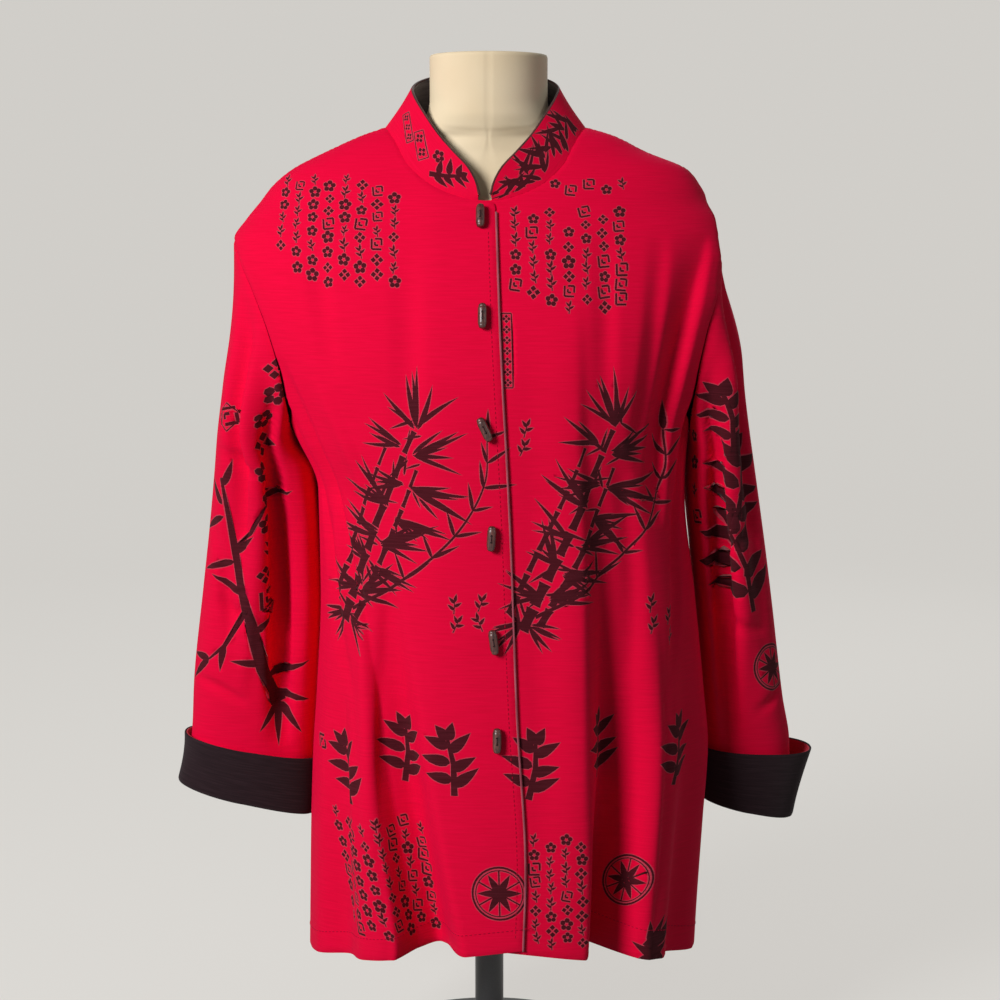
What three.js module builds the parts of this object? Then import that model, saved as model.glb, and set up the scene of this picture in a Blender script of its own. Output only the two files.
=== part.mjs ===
// A woman's stand-collar tunic jacket, buttoned up on a limbless dress form with a short stand.
// Millimetres, +Z up, +X to the wearer's left, +Y to the back. The origin is on the floor, under the pole.

import * as THREE from 'three';

// ---------- driving sizes ----------
const HEM_Z = 178;              // the hem above the floor at the centre front
const SIDE_HEM_Z = 132;         // the hem at the side seams and across the back, where it dips
const ARMPIT_Z = 640;           // bottom of both armholes
const NECK_Z = 926;             // the collar seam at the side and back of the neck
const THROAT_Z = 857;           // the collar seam at the centre front
const BODY_Y = 2;               // the side seams' place front to back
const CLOTH = 1.5;              // thickness of one worn layer, with its seam allowances
const SEAM_GAP = 0.4;           // between two sewn pieces
const OVERLAP = 38;             // the right front lies this far over the left front
const LAP_LIFT = 3;             // the upper front stands this far off the body's surface
const LAP_STEP = { low: -85, high: -42 };  // the x between which it rises to that
const ARMHOLE_HALF_ANGLE = 28;  // degrees of the body's ring, front and back of the side seam

const SHOULDER_END_Z = { right: 822, left: 862 };
const SIDE_SIGN = { right: -1, left: 1 };

const COLLAR_THICK = 2;
const LINING_THICK = 1;
const PIPING_RADIUS = 1.4;

const TOGGLE = { length: 23, radius: 4.1, endRadius: 3.1, dome: 0.9 };

const POLE_RADIUS = 14;
const BASE = { radius: 150, thick: 16, shoulder: 6, hubRadius: 30, hubHeight: 34 };
const HUB_TAPER = 0.7;          // the hub's radius at its top, as a share of that at its foot
const FORM_BOTTOM_Z = 300;

// ---------- materials ----------
function finish(color, roughness, metalness = 0) {
  return new THREE.MeshStandardMaterial({ color, roughness, metalness });
}
const redCloth = finish(0xd8002e, 0.85);
const blackCloth = finish(0x241619, 0.9);
const liningCloth = finish(0x3a3839, 0.9);
const pipingCloth = finish(0x4a1a18, 0.7);
const toggleWood = finish(0x6b3a3a, 0.45);
const formLinen = finish(0xf0e2c0, 0.8);
const standMetal = finish(0x3c3c3e, 0.4, 0.8);

// ---------- tables ----------
// The body's horizontal rings: side edges, ring centre, depths to the front and back, squareness.
const BODY_RINGS = [
  { z: 132, right: -177, left: 202, centre: 15, front: 152, back: 143, square: 2.2 },
  { z: 178, right: -176, left: 204, centre: 14, front: 150, back: 140, square: 2.2 },
  { z: 264, right: -174, left: 209, centre: 12, front: 145, back: 131, square: 2.2 },
  { z: 335, right: -171, left: 213, centre: 10, front: 140, back: 124, square: 2.2 },
  { z: 391, right: -167, left: 208, centre: 9, front: 136, back: 118, square: 2.2 },
  { z: 486, right: -162, left: 198, centre: 7, front: 132, back: 110, square: 2.25 },
  { z: 586, right: -163, left: 187, centre: 4, front: 130, back: 107, square: 2.3 },
  { z: 640, right: -185, left: 190, centre: 1, front: 131, back: 110, square: 2.3 },
  { z: 690, right: -207, left: 207, centre: 0, front: 130, back: 112, square: 2.3 },
  { z: 735, right: -226, left: 224, centre: -1, front: 124, back: 112, square: 2.25 },
  { z: 775, right: -238, left: 236, centre: -2, front: 113, back: 108, square: 2.2 },
  { z: 800, right: -242, left: 236, centre: -2, front: 104, back: 103, square: 2.15 },
  { z: 822, right: -240, left: 229, centre: -3, front: 95, back: 98, square: 2.1 },
  { z: 840, right: -228, left: 221, centre: -3, front: 85, back: 93, square: 2.05 },
  { z: 857, right: -214, left: 207, centre: -3, front: 76, back: 88, square: 2 },
  { z: 871, right: -203, left: 199, centre: -3, front: 67, back: 83, square: 2 },
  { z: 886, right: -185, left: 187, centre: -3, front: 56, back: 78, square: 2 },
  { z: 903, right: -152, left: 147, centre: -3, front: 44, back: 72, square: 2 },
  { z: 917, right: -121, left: 119, centre: -3, front: 30, back: 65, square: 2 },
  { z: 926, right: -96, left: 90, centre: -3, front: 16, back: 58, square: 2 },
];

// Flutes that the body's cloth falls into. at: degrees round the ring at the hem, 0 at the centre front
// and 90 at the wearer's left side. before and after: the flute's two half widths. depth: at the hem.
// lean: how far the flute has turned, in degrees, at the height where it ends.
const BODY_FLUTES = [
  { at: -26.5, before: 3.5, after: 9, depth: 32, top: 600, lean: -24 },
  { at: -19, before: 9, after: 10.5, depth: 47, top: 600, lean: -22 },
  { at: 28, before: 7, after: 17, depth: 58, top: 640, lean: 3 },
  { at: -55, before: 15, after: 14, depth: 15, top: 560, lean: 4 },
  { at: 62, before: 12, after: 16, depth: 16, top: 600, lean: 2 },
  { at: 103, before: 13, after: 12, depth: 20, top: 520, lean: -3 },
  { at: 139, before: 16, after: 11, depth: 40, top: 650, lean: 4 },
  { at: 176, before: 13, after: 15, depth: 34, top: 590, lean: -2 },
  { at: 214, before: 11, after: 17, depth: 44, top: 670, lean: -5 },
  { at: 250, before: 13, after: 13, depth: 22, top: 540, lean: 3 },
];

const FLUTE_FADE = 1.35;        // how fast a flute's depth falls off with height

// The collar seam at the front: distance from the neck's centre line and height.
const NECKLINE = [
  { out: 0, z: 857 },
  { out: 14, z: 858.5 },
  { out: 28, z: 862 },
  { out: 52, z: 873 },
  { out: 70, z: 890 },
  { out: 82, z: 911 },
  { out: 92.5, z: 926 },
];

// The collar's upper edge from the centre back to the front end, measured from the neck's centre line.
const COLLAR_TOP = [
  { out: 0, y: 63, z: 977 },
  { out: 34, y: 56, z: 976 },
  { out: 58, y: 36, z: 971 },
  { out: 69, y: 10, z: 963 },
  { out: 67, y: -12, z: 953 },
  { out: 57, y: -31, z: 936 },
  { out: 43, y: -47, z: 916 },
  { out: 29, y: -60, z: 900 },
  { out: 16, y: -68, z: 886 },
  { out: 9, y: -72.5, z: 873 },
  { out: 6.5, y: -75, z: 862 },
];
const NECK_CENTRE_X = -3;
const COLLAR_END_OUT = 5.5;     // half of the opening between the collar's two ends

// The front edge of the upper front, from the throat to the hem.
const FRONT_EDGE = [
  { z: 178, x: 31 },
  { z: 250, x: 33 },
  { z: 397, x: 25 },
  { z: 561, x: 19 },
  { z: 738, x: 10 },
  { z: 857, x: 6 },
];

// The sleeves' horizontal sections: the side next to the body, the outer side, the front and the back.
const SLEEVE_RINGS = {
  right: [
    { z: 255, inner: -179, outer: -318, front: 0, back: 62 },
    { z: 335, inner: -177, outer: -295, front: -4, back: 67 },
    { z: 393, inner: -171, outer: -291, front: -10, back: 71 },
    { z: 486, inner: -165.5, outer: -279, front: -22, back: 73 },
    { z: 545, inner: -166.5, outer: -271, front: -32, back: 74 },
    { z: 600, inner: -179, outer: -264, front: -45, back: 73 },
    { z: 640, inner: -190, outer: -259, front: -55, back: 70 },
    { z: 680, inner: -191, outer: -253, front: -60, back: 70 },
    { z: 731, inner: -193, outer: -246, front: -63, back: 70 },
    { z: 780, inner: -199, outer: -242, front: -58, back: 66 },
    { z: 822, inner: -205, outer: -240, front: -46, back: 56 },
  ],
  left: [
    { z: 250, inner: 213, outer: 300, front: 4, back: 70 },
    { z: 328, inner: 214, outer: 298, front: 0, back: 72 },
    { z: 374, inner: 212, outer: 290, front: -6, back: 74 },
    { z: 472, inner: 204, outer: 276, front: -24, back: 75 },
    { z: 519, inner: 200, outer: 269, front: -32, back: 75 },
    { z: 599, inner: 196, outer: 256, front: -46, back: 75 },
    { z: 640, inner: 196, outer: 249, front: -54, back: 74 },
    { z: 679, inner: 197, outer: 243, front: -59, back: 73 },
    { z: 717, inner: 198, outer: 239, front: -62, back: 72 },
    { z: 768, inner: 198, outer: 233.5, front: -61, back: 70 },
    { z: 800, inner: 196, outer: 230, front: -57, back: 66 },
    { z: 832, inner: 190, outer: 223, front: -46, back: 56 },
    { z: 862, inner: 182, outer: 203, front: -25, back: 36 },
  ],
};
const SLEEVE_SQUARE = 2.2;
const CAP_BLEND = 0.24;         // share of the sleeve's length that turns from the armhole to its sections
const CAP_START = 0.02;         // share in which it leaves the seam

// Long troughs in the sleeves. at: degrees round the sleeve, 0 next to the body, 90 at the front.
const SLEEVE_TROUGHS = {
  right: [
    { at: 62, half: 24, depth: 15, from: 0.06, to: 0.9 },
    { at: 118, half: 22, depth: 6, from: 0.1, to: 0.7 },
    { at: 232, half: 26, depth: 12, from: 0.1, to: 0.85 },
    { at: 292, half: 24, depth: 9, from: 0.25, to: 0.95 },
  ],
  left: [
    { at: 66, half: 26, depth: 13, from: 0.08, to: 0.92 },
    { at: 128, half: 22, depth: 5, from: 0.2, to: 0.75 },
    { at: 240, half: 26, depth: 13, from: 0.1, to: 0.8 },
    { at: 298, half: 22, depth: 8, from: 0.3, to: 0.95 },
  ],
};

// The turned-back cuffs: heights of the fold and of the upper edge, and how far the upper edge stands off.
const CUFFS = {
  right: { foldInner: 255, foldOuter: 289, topInner: 314, topOuter: 339, flare: 4, outerFlare: 0 },
  left: { foldInner: 271, foldOuter: 251, topInner: 326, topOuter: 321, flare: 4, outerFlare: 15 },
};
const TURNUP_THICK = 1;
const FLARE_CURVE = 1.3;        // how the flare grows towards the upper edge

// The toggles on the upper front: place, and turn in the front's plane.
const TOGGLES = [
  { x: -7, z: 841, turn: 0 },
  { x: -5, z: 754, turn: 0 },
  { x: -3, z: 655, turn: 25 },
  { x: 3, z: 557, turn: -3 },
  { x: 5, z: 463, turn: 8 },
  { x: 8, z: 373, turn: 0 },
];

// The dress form's rings, from the flat top of its neck down.
const FORM_RINGS = [
  { z: 991, half: 55, front: 52, back: 52, square: 2 },
  { z: 950, half: 55, front: 52, back: 52, square: 2 },
  { z: 937, half: 58, front: 52, back: 53, square: 2 },
  { z: 926, half: 68, front: 50, back: 53, square: 1.8 },
  { z: 914, half: 107, front: 46, back: 55, square: 1.25 },
  { z: 903, half: 142, front: 45, back: 62, square: 1.42 },
  { z: 889, half: 173, front: 49, back: 69, square: 1.7 },
  { z: 872, half: 187, front: 58, back: 75, square: 1.95 },
  { z: 850, half: 190, front: 70, back: 82, square: 2 },
  { z: 815, half: 184, front: 86, back: 89, square: 2.1 },
  { z: 770, half: 178, front: 102, back: 97, square: 2.1 },
  { z: 720, half: 160, front: 112, back: 101, square: 2.1 },
  { z: 660, half: 140, front: 106, back: 96, square: 2.1 },
  { z: 610, half: 126, front: 94, back: 88, square: 2.1 },
  { z: 560, half: 119, front: 86, back: 84, square: 2.1 },
  { z: 490, half: 130, front: 88, back: 92, square: 2.1 },
  { z: 420, half: 142, front: 90, back: 96, square: 2.1 },
  { z: 350, half: 140, front: 84, back: 92, square: 2.1 },
  { z: FORM_BOTTOM_Z, half: 134, front: 78, back: 86, square: 2.1 },
];

// ---------- small maths ----------
const radians = THREE.MathUtils.degToRad;
const degrees = THREE.MathUtils.radToDeg;
const mix = THREE.MathUtils.lerp;
const ease = THREE.MathUtils.smoothstep;

function signedPower(value, power) {
  return Math.sign(value) * Math.abs(value) ** power;
}

// A smooth curve through one column of a table whose rows rise in z.
function tableAt(table, column, z) {
  const last = table.length - 1;
  if (z <= table[0].z) return table[0][column];
  if (z >= table[last].z) return table[last][column];
  let i = 0;
  while (table[i + 1].z < z) i += 1;
  const slope = (k) => (table[k + 1][column] - table[k][column]) / (table[k + 1].z - table[k].z);
  const bend = (k) => {
    if (k <= 0) return slope(0);
    if (k >= last) return slope(last - 1);
    const below = slope(k - 1);
    const above = slope(k);
    return below * above <= 0 ? 0 : (2 * below * above) / (below + above);
  };
  const step = table[i + 1].z - table[i].z;
  const t = (z - table[i].z) / step;
  const start = table[i][column];
  const end = table[i + 1][column];
  return (2 * t ** 3 - 3 * t ** 2 + 1) * start + (t ** 3 - 2 * t ** 2 + t) * step * bend(i)
    + (3 * t ** 2 - 2 * t ** 3) * end + (t ** 3 - t ** 2) * step * bend(i + 1);
}

// A trough's cross-section: 1 in the middle, 0 at its two edges.
function troughShape(offset, before, after) {
  const share = offset < 0 ? -offset / before : offset / after;
  return share >= 1 ? 0 : Math.cos(share * Math.PI / 2) ** 2;
}

function range(count, make) {
  return Array.from({ length: count }, (unused, i) => make(i));
}

// ---------- solids from grids ----------
// A cloth wall: the grid's points are its outer face, and the inner face lies `thick` behind them.
function clothWall(surface, rows, columns, thick, closed = false) {
  const outer = [];
  const inner = [];
  for (const row of rows) {
    for (const column of columns) {
      const { point, normal } = surface(column, row);
      outer.push(point);
      inner.push(point.clone().addScaledVector(normal, -thick));
    }
  }
  const width = columns.length;
  const offset = outer.length;
  const at = (r, c) => r * width + (c % width);
  const faces = [];
  const quad = (a, b, c, d) => faces.push(a, b, c, a, c, d);
  const span = closed ? width : width - 1;
  for (let r = 0; r < rows.length - 1; r += 1) {
    for (let c = 0; c < span; c += 1) {
      quad(at(r, c), at(r, c + 1), at(r + 1, c + 1), at(r + 1, c));
      quad(offset + at(r, c), offset + at(r + 1, c), offset + at(r + 1, c + 1), offset + at(r, c + 1));
    }
  }
  const top = rows.length - 1;
  for (let c = 0; c < span; c += 1) {
    quad(at(0, c), offset + at(0, c), offset + at(0, c + 1), at(0, c + 1));
    quad(at(top, c), at(top, c + 1), offset + at(top, c + 1), offset + at(top, c));
  }
  for (let r = 0; r < top && !closed; r += 1) {
    quad(at(r, 0), at(r + 1, 0), offset + at(r + 1, 0), offset + at(r, 0));
    quad(at(r, span), offset + at(r, span), offset + at(r + 1, span), at(r + 1, span));
  }
  return solidGeometry([...outer, ...inner], faces);
}

// A solid of stacked rings with a flat cap at each end.
function ringSolid(rings) {
  const width = rings[0].length;
  const points = rings.flat();
  const faces = [];
  for (let r = 0; r < rings.length - 1; r += 1) {
    for (let c = 0; c < width; c += 1) {
      const next = (c + 1) % width;
      const [a, b] = [r * width + c, r * width + next];
      faces.push(a, b, b + width, a, b + width, a + width);
    }
  }
  const capEnd = (ring, first, turned) => {
    const centre = points.length;
    points.push(ring.reduce((sum, p) => sum.add(p), new THREE.Vector3()).divideScalar(width));
    for (let c = 0; c < width; c += 1) {
      const next = (c + 1) % width;
      if (turned) faces.push(centre, first + next, first + c);
      else faces.push(centre, first + c, first + next);
    }
  };
  capEnd(rings[0], 0, true);
  capEnd(rings[rings.length - 1], (rings.length - 1) * width, false);
  return solidGeometry(points, faces);
}

// Turns every face outward: a closed shell that encloses a negative volume is inside out.
function solidGeometry(points, faces) {
  let volume = 0;
  for (let i = 0; i < faces.length; i += 3) {
    const [a, b, c] = [points[faces[i]], points[faces[i + 1]], points[faces[i + 2]]];
    volume += a.dot(b.clone().cross(c));
  }
  const turned = volume < 0 ? faces.toReversed() : faces;
  const geometry = new THREE.BufferGeometry();
  geometry.setAttribute('position', new THREE.Float32BufferAttribute(points.flatMap((p) => p.toArray()), 3));
  geometry.setIndex(turned);
  geometry.computeVertexNormals();
  return geometry;
}

// A round cord along points, with one ring of `sides` corners at each.
function cordSolid(path, radius, sides) {
  const rings = path.map((point, i) => {
    const before = path[Math.max(i - 1, 0)];
    const after = path[Math.min(i + 1, path.length - 1)];
    const along = after.clone().sub(before).normalize();
    const across = new THREE.Vector3(0, 1, 0).cross(along).normalize();
    const up = along.clone().cross(across);
    return range(sides, (k) => {
      const angle = (k + 0.5) * 2 * Math.PI / sides;
      return point.clone()
        .addScaledVector(across, radius * Math.cos(angle))
        .addScaledVector(up, radius * Math.sin(angle));
    });
  });
  return ringSolid(rings);
}

// The normal of a two-way surface, turned to point away from the given axis point.
function surfaceNormal(pointAt, a, b, stepA, stepB, axisPoint) {
  const alongA = pointAt(a + stepA, b).sub(pointAt(a - stepA, b));
  const alongB = pointAt(a, b + stepB).sub(pointAt(a, b - stepB));
  const normal = alongA.cross(alongB).normalize();
  const away = pointAt(a, b).sub(axisPoint);
  return normal.dot(away) < 0 ? normal.negate() : normal;
}

// ---------- the body's surface ----------
function ringAt(z) {
  const row = {};
  for (const column of ['right', 'left', 'centre', 'front', 'back', 'square']) {
    row[column] = tableAt(BODY_RINGS, column, z);
  }
  return row;
}

function fluteDepth(angle, z) {
  let depth = 0;
  for (const flute of BODY_FLUTES) {
    const height = (z - HEM_Z) / (flute.top - HEM_Z);
    if (height >= 1) continue;
    const middle = flute.at + flute.lean * Math.max(height, 0);
    const offset = ((angle - middle + 540) % 360) - 180;
    const fade = (1 - Math.max(height, 0)) ** FLUTE_FADE;
    depth += flute.depth * fade * troughShape(offset, flute.before, flute.after);
  }
  return depth;
}

// A point of the body's cloth at an angle round it and a height.
function bodyPoint(angle, z, lift = 0) {
  const ring = ringAt(z);
  const [sine, cosine] = [Math.sin(radians(angle)), Math.cos(radians(angle))];
  const across = sine < 0 ? ring.centre - ring.right : ring.left - ring.centre;
  const deep = cosine > 0 ? ring.front : ring.back;
  const power = 2 / ring.square;
  const [sx, sy] = [signedPower(sine, power), -signedPower(cosine, power)];
  const outX = signedPower(sx, ring.square - 1) / across;
  const outY = signedPower(sy, ring.square - 1) / deep;
  const length = Math.hypot(outX, outY);
  const move = (lift - fluteDepth(angle, z)) / length;
  return new THREE.Vector3(ring.centre + sx * across + outX * move, BODY_Y + sy * deep + outY * move, z);
}

function angleAtX(x, z) {
  const ring = ringAt(z);
  const across = x < ring.centre ? ring.centre - ring.right : ring.left - ring.centre;
  const share = THREE.MathUtils.clamp((x - ring.centre) / across, -1, 1);
  return degrees(Math.asin(signedPower(share, ring.square / 2)));
}

// The upper front is lifted off the under front, from a soft step beside the overlap on.
function lapLift(angle, z) {
  const x = bodyPoint(angle, z).x;
  return LAP_LIFT * ease(x, LAP_STEP.low, LAP_STEP.high);
}

function bodySurface(angle, z, lifted = false) {
  const pointAt = (a, b) => bodyPoint(a, b, lifted ? lapLift(angle, z) : 0);
  const axis = new THREE.Vector3(NECK_CENTRE_X, BODY_Y, z - 60);
  return { point: pointAt(angle, z), normal: surfaceNormal(pointAt, angle, z, 0.5, 0.5, axis) };
}

// ---------- seams ----------
const SIDE_ROWS = 9;            // grid rows from the hem to the armpit
const ARMHOLE_ROWS = 12;        // grid rows up each side of the armhole
const SHOULDER_ROWS = 6;        // grid rows from the shoulder's end to the neck

// A point of the armhole: turn 0 at the armpit, 90 at its front, 180 at the shoulder, 270 at its back.
function armhole(side, turn, shrink = 0) {
  const top = SHOULDER_END_Z[side] - shrink;
  const bottom = ARMPIT_Z + shrink;
  const z = mix(bottom, top, (1 - Math.cos(radians(turn))) / 2);
  const half = ARMHOLE_HALF_ANGLE - shrink * 0.25;
  return { angle: SIDE_SIGN[side] * (90 - half * Math.sin(radians(turn))), z };
}

// Where each grid row meets the side seam, the armhole and the shoulder seam; front is 1 or -1 for the back.
function outerEdge(side, front) {
  const end = SHOULDER_END_Z[side];
  return [
    ...range(SIDE_ROWS, (i) => ({
      angle: SIDE_SIGN[side] * 90,
      z: mix(SIDE_HEM_Z, ARMPIT_Z, i / SIDE_ROWS),
      seam: 1,
    })),
    ...range(ARMHOLE_ROWS, (i) => ({ ...armhole(side, front * 180 * i / ARMHOLE_ROWS), seam: i ? 0 : 1 })),
    ...range(SHOULDER_ROWS + 1, (i) => ({
      angle: SIDE_SIGN[side] * 90,
      z: mix(end, NECK_Z, i / SHOULDER_ROWS),
      seam: 1,
    })),
  ];
}

// The front neckline from the throat (share 0) to the shoulder (share 1).
const necklineCurve = new THREE.CatmullRomCurve3(
  NECKLINE.map((row) => new THREE.Vector3(row.out, 0, row.z)),
  false,
  'centripetal',
);
function neckline(side, share) {
  const spot = necklineCurve.getPointAt(share);
  const z = Math.min(spot.z, NECK_Z);
  return { angle: angleAtX(NECK_CENTRE_X + SIDE_SIGN[side] * spot.x, z), z };
}

// Shares of the neckline where the panels' rows and the collar's columns meet.
const FIRST_SHARE = 0.09;
const LAST_SHARE = 0.965;
const NECKLINE_SHARES = range(SHOULDER_ROWS, (i) => mix(FIRST_SHARE, LAST_SHARE, i / (SHOULDER_ROWS - 1)));

// Where each grid row meets the front edge and the neckline.
function innerEdge(side) {
  const back = side === 'left' ? OVERLAP : 0;
  const edgeRows = SIDE_ROWS + ARMHOLE_ROWS;
  const edge = range(edgeRows + 1, (i) => {
    const z = mix(HEM_Z, THROAT_Z, i / edgeRows);
    return { angle: angleAtX(tableAt(FRONT_EDGE, 'x', z) - back, z), z };
  });
  return [...edge, ...NECKLINE_SHARES.map((share) => neckline(side, share))];
}

// ---------- the front and back panels ----------
// Shares of a panel's width where its grid columns lie, closer together where it falls into a deep flute.
const FRONT_COLUMNS = {
  right: [0, 0.07, 0.13, 0.18, 0.225, 0.265, 0.3, 0.33, 0.355, 0.385, 0.42, 0.46, 0.51, 0.57, 0.64, 0.72, 0.81,
    0.9, 1],
  left: [0, 0.1, 0.19, 0.27, 0.32, 0.355, 0.39, 0.425, 0.47, 0.52, 0.58, 0.66, 0.74, 0.82, 0.91, 1],
};
const BACK_COLUMNS = 12;        // of each half of the back

// A point between two edges' rows, moved back from the seam by half of the seam's gap.
function panelSurface(start, end, lifted, seamShift) {
  return (share, row) => {
    const angle = mix(start[row].angle, end[row].angle, share);
    const z = mix(start[row].z, end[row].z, share);
    const found = bodySurface(angle, z, lifted);
    if (share === 1) found.point.y += seamShift * end[row].seam;
    if (share === 0 && start[row].seam) found.point.y += seamShift;
    return found;
  };
}

function frontPanel(side) {
  const start = innerEdge(side);
  const end = outerEdge(side, 1);
  const surface = panelSurface(start, end, side === 'right', -SEAM_GAP / 2);
  return clothWall(surface, range(start.length, (i) => i), FRONT_COLUMNS[side], CLOTH);
}

// Half of the back, from its side seam and armhole to the seam down the centre back.
function backPanel(side) {
  const fromLeft = outerEdge('left', -1);
  const toRight = outerEdge('right', -1).map((spot) => ({ ...spot, angle: spot.angle + 360 }));
  const centre = fromLeft.map((spot, i) => ({ angle: 180, z: (spot.z + toRight[i].z) / 2, seam: 0 }));
  const half = panelSurface(side === 'left' ? fromLeft : toRight, centre, false, SEAM_GAP / 2);
  const surface = (share, row) => {
    const found = half(share, row);
    if (share === 1) found.point.x += SIDE_SIGN[side] * SEAM_GAP / 2;
    return found;
  };
  const columns = range(BACK_COLUMNS + 1, (i) => i / BACK_COLUMNS);
  return clothWall(surface, range(centre.length, (i) => i), columns, CLOTH);
}

// ---------- sleeves and cuffs ----------
const SLEEVE_COLUMNS = 2 * ARMHOLE_ROWS;
const SLEEVE_STEPS = 13;

function sleeveSection(side, turn, z, offset = 0) {
  const table = SLEEVE_RINGS[side];
  const inner = tableAt(table, 'inner', z);
  const outer = tableAt(table, 'outer', z);
  const front = tableAt(table, 'front', z);
  const back = tableAt(table, 'back', z);
  const power = 2 / SLEEVE_SQUARE;
  const sx = -signedPower(Math.cos(radians(turn)), power);
  const sy = -signedPower(Math.sin(radians(turn)), power);
  const [halfX, halfY] = [(outer - inner) / 2, (back - front) / 2];
  const outX = signedPower(sx, SLEEVE_SQUARE - 1) / halfX;
  const outY = signedPower(sy, SLEEVE_SQUARE - 1) / halfY;
  const move = offset / Math.hypot(outX, outY);
  return new THREE.Vector3(
    (inner + outer) / 2 + sx * halfX + outX * move,
    (front + back) / 2 + sy * halfY + outY * move,
    z,
  );
}

function betweenSides(turn, inner, outer) {
  return mix(inner, outer, (1 - Math.cos(radians(turn))) / 2);
}

function sleeveTrough(side, turn, share) {
  let depth = 0;
  for (const trough of SLEEVE_TROUGHS[side]) {
    const along = (share - trough.from) / (trough.to - trough.from);
    if (along <= 0 || along >= 1) continue;
    const offset = ((turn - trough.at + 540) % 360) - 180;
    depth += trough.depth * Math.sin(along * Math.PI) * troughShape(offset, trough.half, trough.half);
  }
  return depth;
}

function sleevePoint(side, turn, share) {
  const spot = armhole(side, turn, SEAM_GAP);
  const start = bodyPoint(spot.angle, spot.z);
  const cuff = CUFFS[side];
  const z = mix(spot.z, betweenSides(turn, cuff.foldInner, cuff.foldOuter), share);
  const section = sleeveSection(side, turn, z, -sleeveTrough(side, turn, share));
  const pull = ease(share, -CAP_START, CAP_BLEND) * ease(share, 0, CAP_START);
  return new THREE.Vector3(mix(start.x, section.x, pull), mix(start.y, section.y, pull), z);
}

// Under the arm the two cloths meet back to back, and the seam's own direction lies between theirs.
function sleeveSurface(side, turn, share) {
  const pointAt = (a, b) => sleevePoint(side, a, b);
  const normalAt = (a, b) => {
    const { z } = pointAt(a, b);
    const middle = sleeveSection(side, 0, z).add(sleeveSection(side, 180, z)).multiplyScalar(0.5);
    return surfaceNormal(pointAt, a, b, 1, 0.01, middle);
  };
  if (share > 0) return { point: pointAt(turn, share), normal: normalAt(turn, share) };
  const spot = armhole(side, turn, SEAM_GAP);
  const bodyNormal = bodySurface(spot.angle, spot.z).normal;
  const sleeveNormal = normalAt(turn, 0.03);
  const apart = (1 - bodyNormal.dot(sleeveNormal)) / 2;
  return { point: pointAt(turn, 0), normal: bodyNormal.addScaledVector(sleeveNormal, apart).normalize() };
}

function sleeve(side) {
  const surface = (turn, share) => sleeveSurface(side, turn, share);
  const steps = range(SLEEVE_STEPS + 1, (i) => (i / SLEEVE_STEPS) ** 1.15);
  const turns = range(SLEEVE_COLUMNS, (i) => i * 360 / SLEEVE_COLUMNS);
  return clothWall(surface, steps, turns, CLOTH, true);
}

// One layer of a turned-back cuff, `layer` off the sleeve's surface at the fold.
function cuffLayer(side, layer, thick, steps) {
  const cuff = CUFFS[side];
  const pointAt = (turn, share) => {
    const fold = betweenSides(turn, cuff.foldInner, cuff.foldOuter);
    const top = betweenSides(turn, cuff.topInner, cuff.topOuter);
    const outward = Math.max(0, -Math.cos(radians(turn))) ** 3;
    const flare = (cuff.flare + cuff.outerFlare * outward) * Math.max(share, 0) ** FLARE_CURVE;
    return sleeveSection(side, turn, mix(fold, top, share), layer + flare);
  };
  const surface = (turn, share) => {
    const point = pointAt(turn, share);
    const middle = sleeveSection(side, 0, point.z).add(sleeveSection(side, 180, point.z)).multiplyScalar(0.5);
    return { point, normal: surfaceNormal(pointAt, turn, share, 1, 0.01, middle) };
  };
  const turns = range(SLEEVE_COLUMNS, (i) => i * 360 / SLEEVE_COLUMNS);
  return clothWall(surface, range(steps + 1, (i) => i / steps), turns, thick, true);
}

// ---------- collar ----------
const COLLAR_BACK_COLUMNS = 16;
const COLLAR_RISES = [0, 0.25, 0.5, 0.75, 1];
const LINING_RISES = [0.08, 0.25, 0.5, 0.75, 1];

// The collar seam's corners from the right front end, round the back, to the left front end.
function collarSeamPoints() {
  const endShare = COLLAR_END_OUT / necklineCurve.getLength();
  const front = (side) => [endShare, ...NECKLINE_SHARES].map((share) => {
    const spot = neckline(side, share);
    return bodyPoint(spot.angle, spot.z);
  });
  const back = range(COLLAR_BACK_COLUMNS + 1, (i) => bodyPoint(270 - 180 * i / COLLAR_BACK_COLUMNS, NECK_Z));
  return [...front('right'), ...back, ...front('left').reverse()];
}

function collarTopPoints() {
  const corner = (sign, row) => new THREE.Vector3(NECK_CENTRE_X + sign * row.out, row.y, row.z);
  const side = (sign) => COLLAR_TOP.map((row) => corner(sign, row));
  return [...side(-1).reverse(), ...side(1).slice(1)];
}

const seamPoints = collarSeamPoints();
const seamCurve = new THREE.CatmullRomCurve3(seamPoints, false, 'centripetal');
const topCurve = new THREE.CatmullRomCurve3(collarTopPoints(), false, 'centripetal');
const seamLengths = seamPoints.map((p, i) => (i ? p.distanceTo(seamPoints[i - 1]) : 0));
const seamTotal = seamLengths.reduce((sum, length) => sum + length, 0);

// The share of the seam's length that lies before a place counted in its corners.
function seamShare(place) {
  const whole = Math.min(Math.floor(place), seamPoints.length - 2);
  const before = seamLengths.slice(0, whole + 1).reduce((sum, length) => sum + length, 0);
  return (before + (place - whole) * seamLengths[whole + 1]) / seamTotal;
}

// A point of the collar: place along it in corners of its seam, rise 0 at the seam and 1 at the upper edge.
function collarPoint(place, rise) {
  const last = seamPoints.length - 1;
  const along = THREE.MathUtils.clamp(place, 0, last);
  const low = seamCurve.getPoint(along / last);
  const high = topCurve.getPointAt(THREE.MathUtils.clamp(seamShare(along), 0, 1));
  const up = high.clone().sub(low);
  const gap = 1.5 * SEAM_GAP;
  return low.addScaledVector(up, (gap + rise * (up.length() - gap)) / up.length());
}

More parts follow.
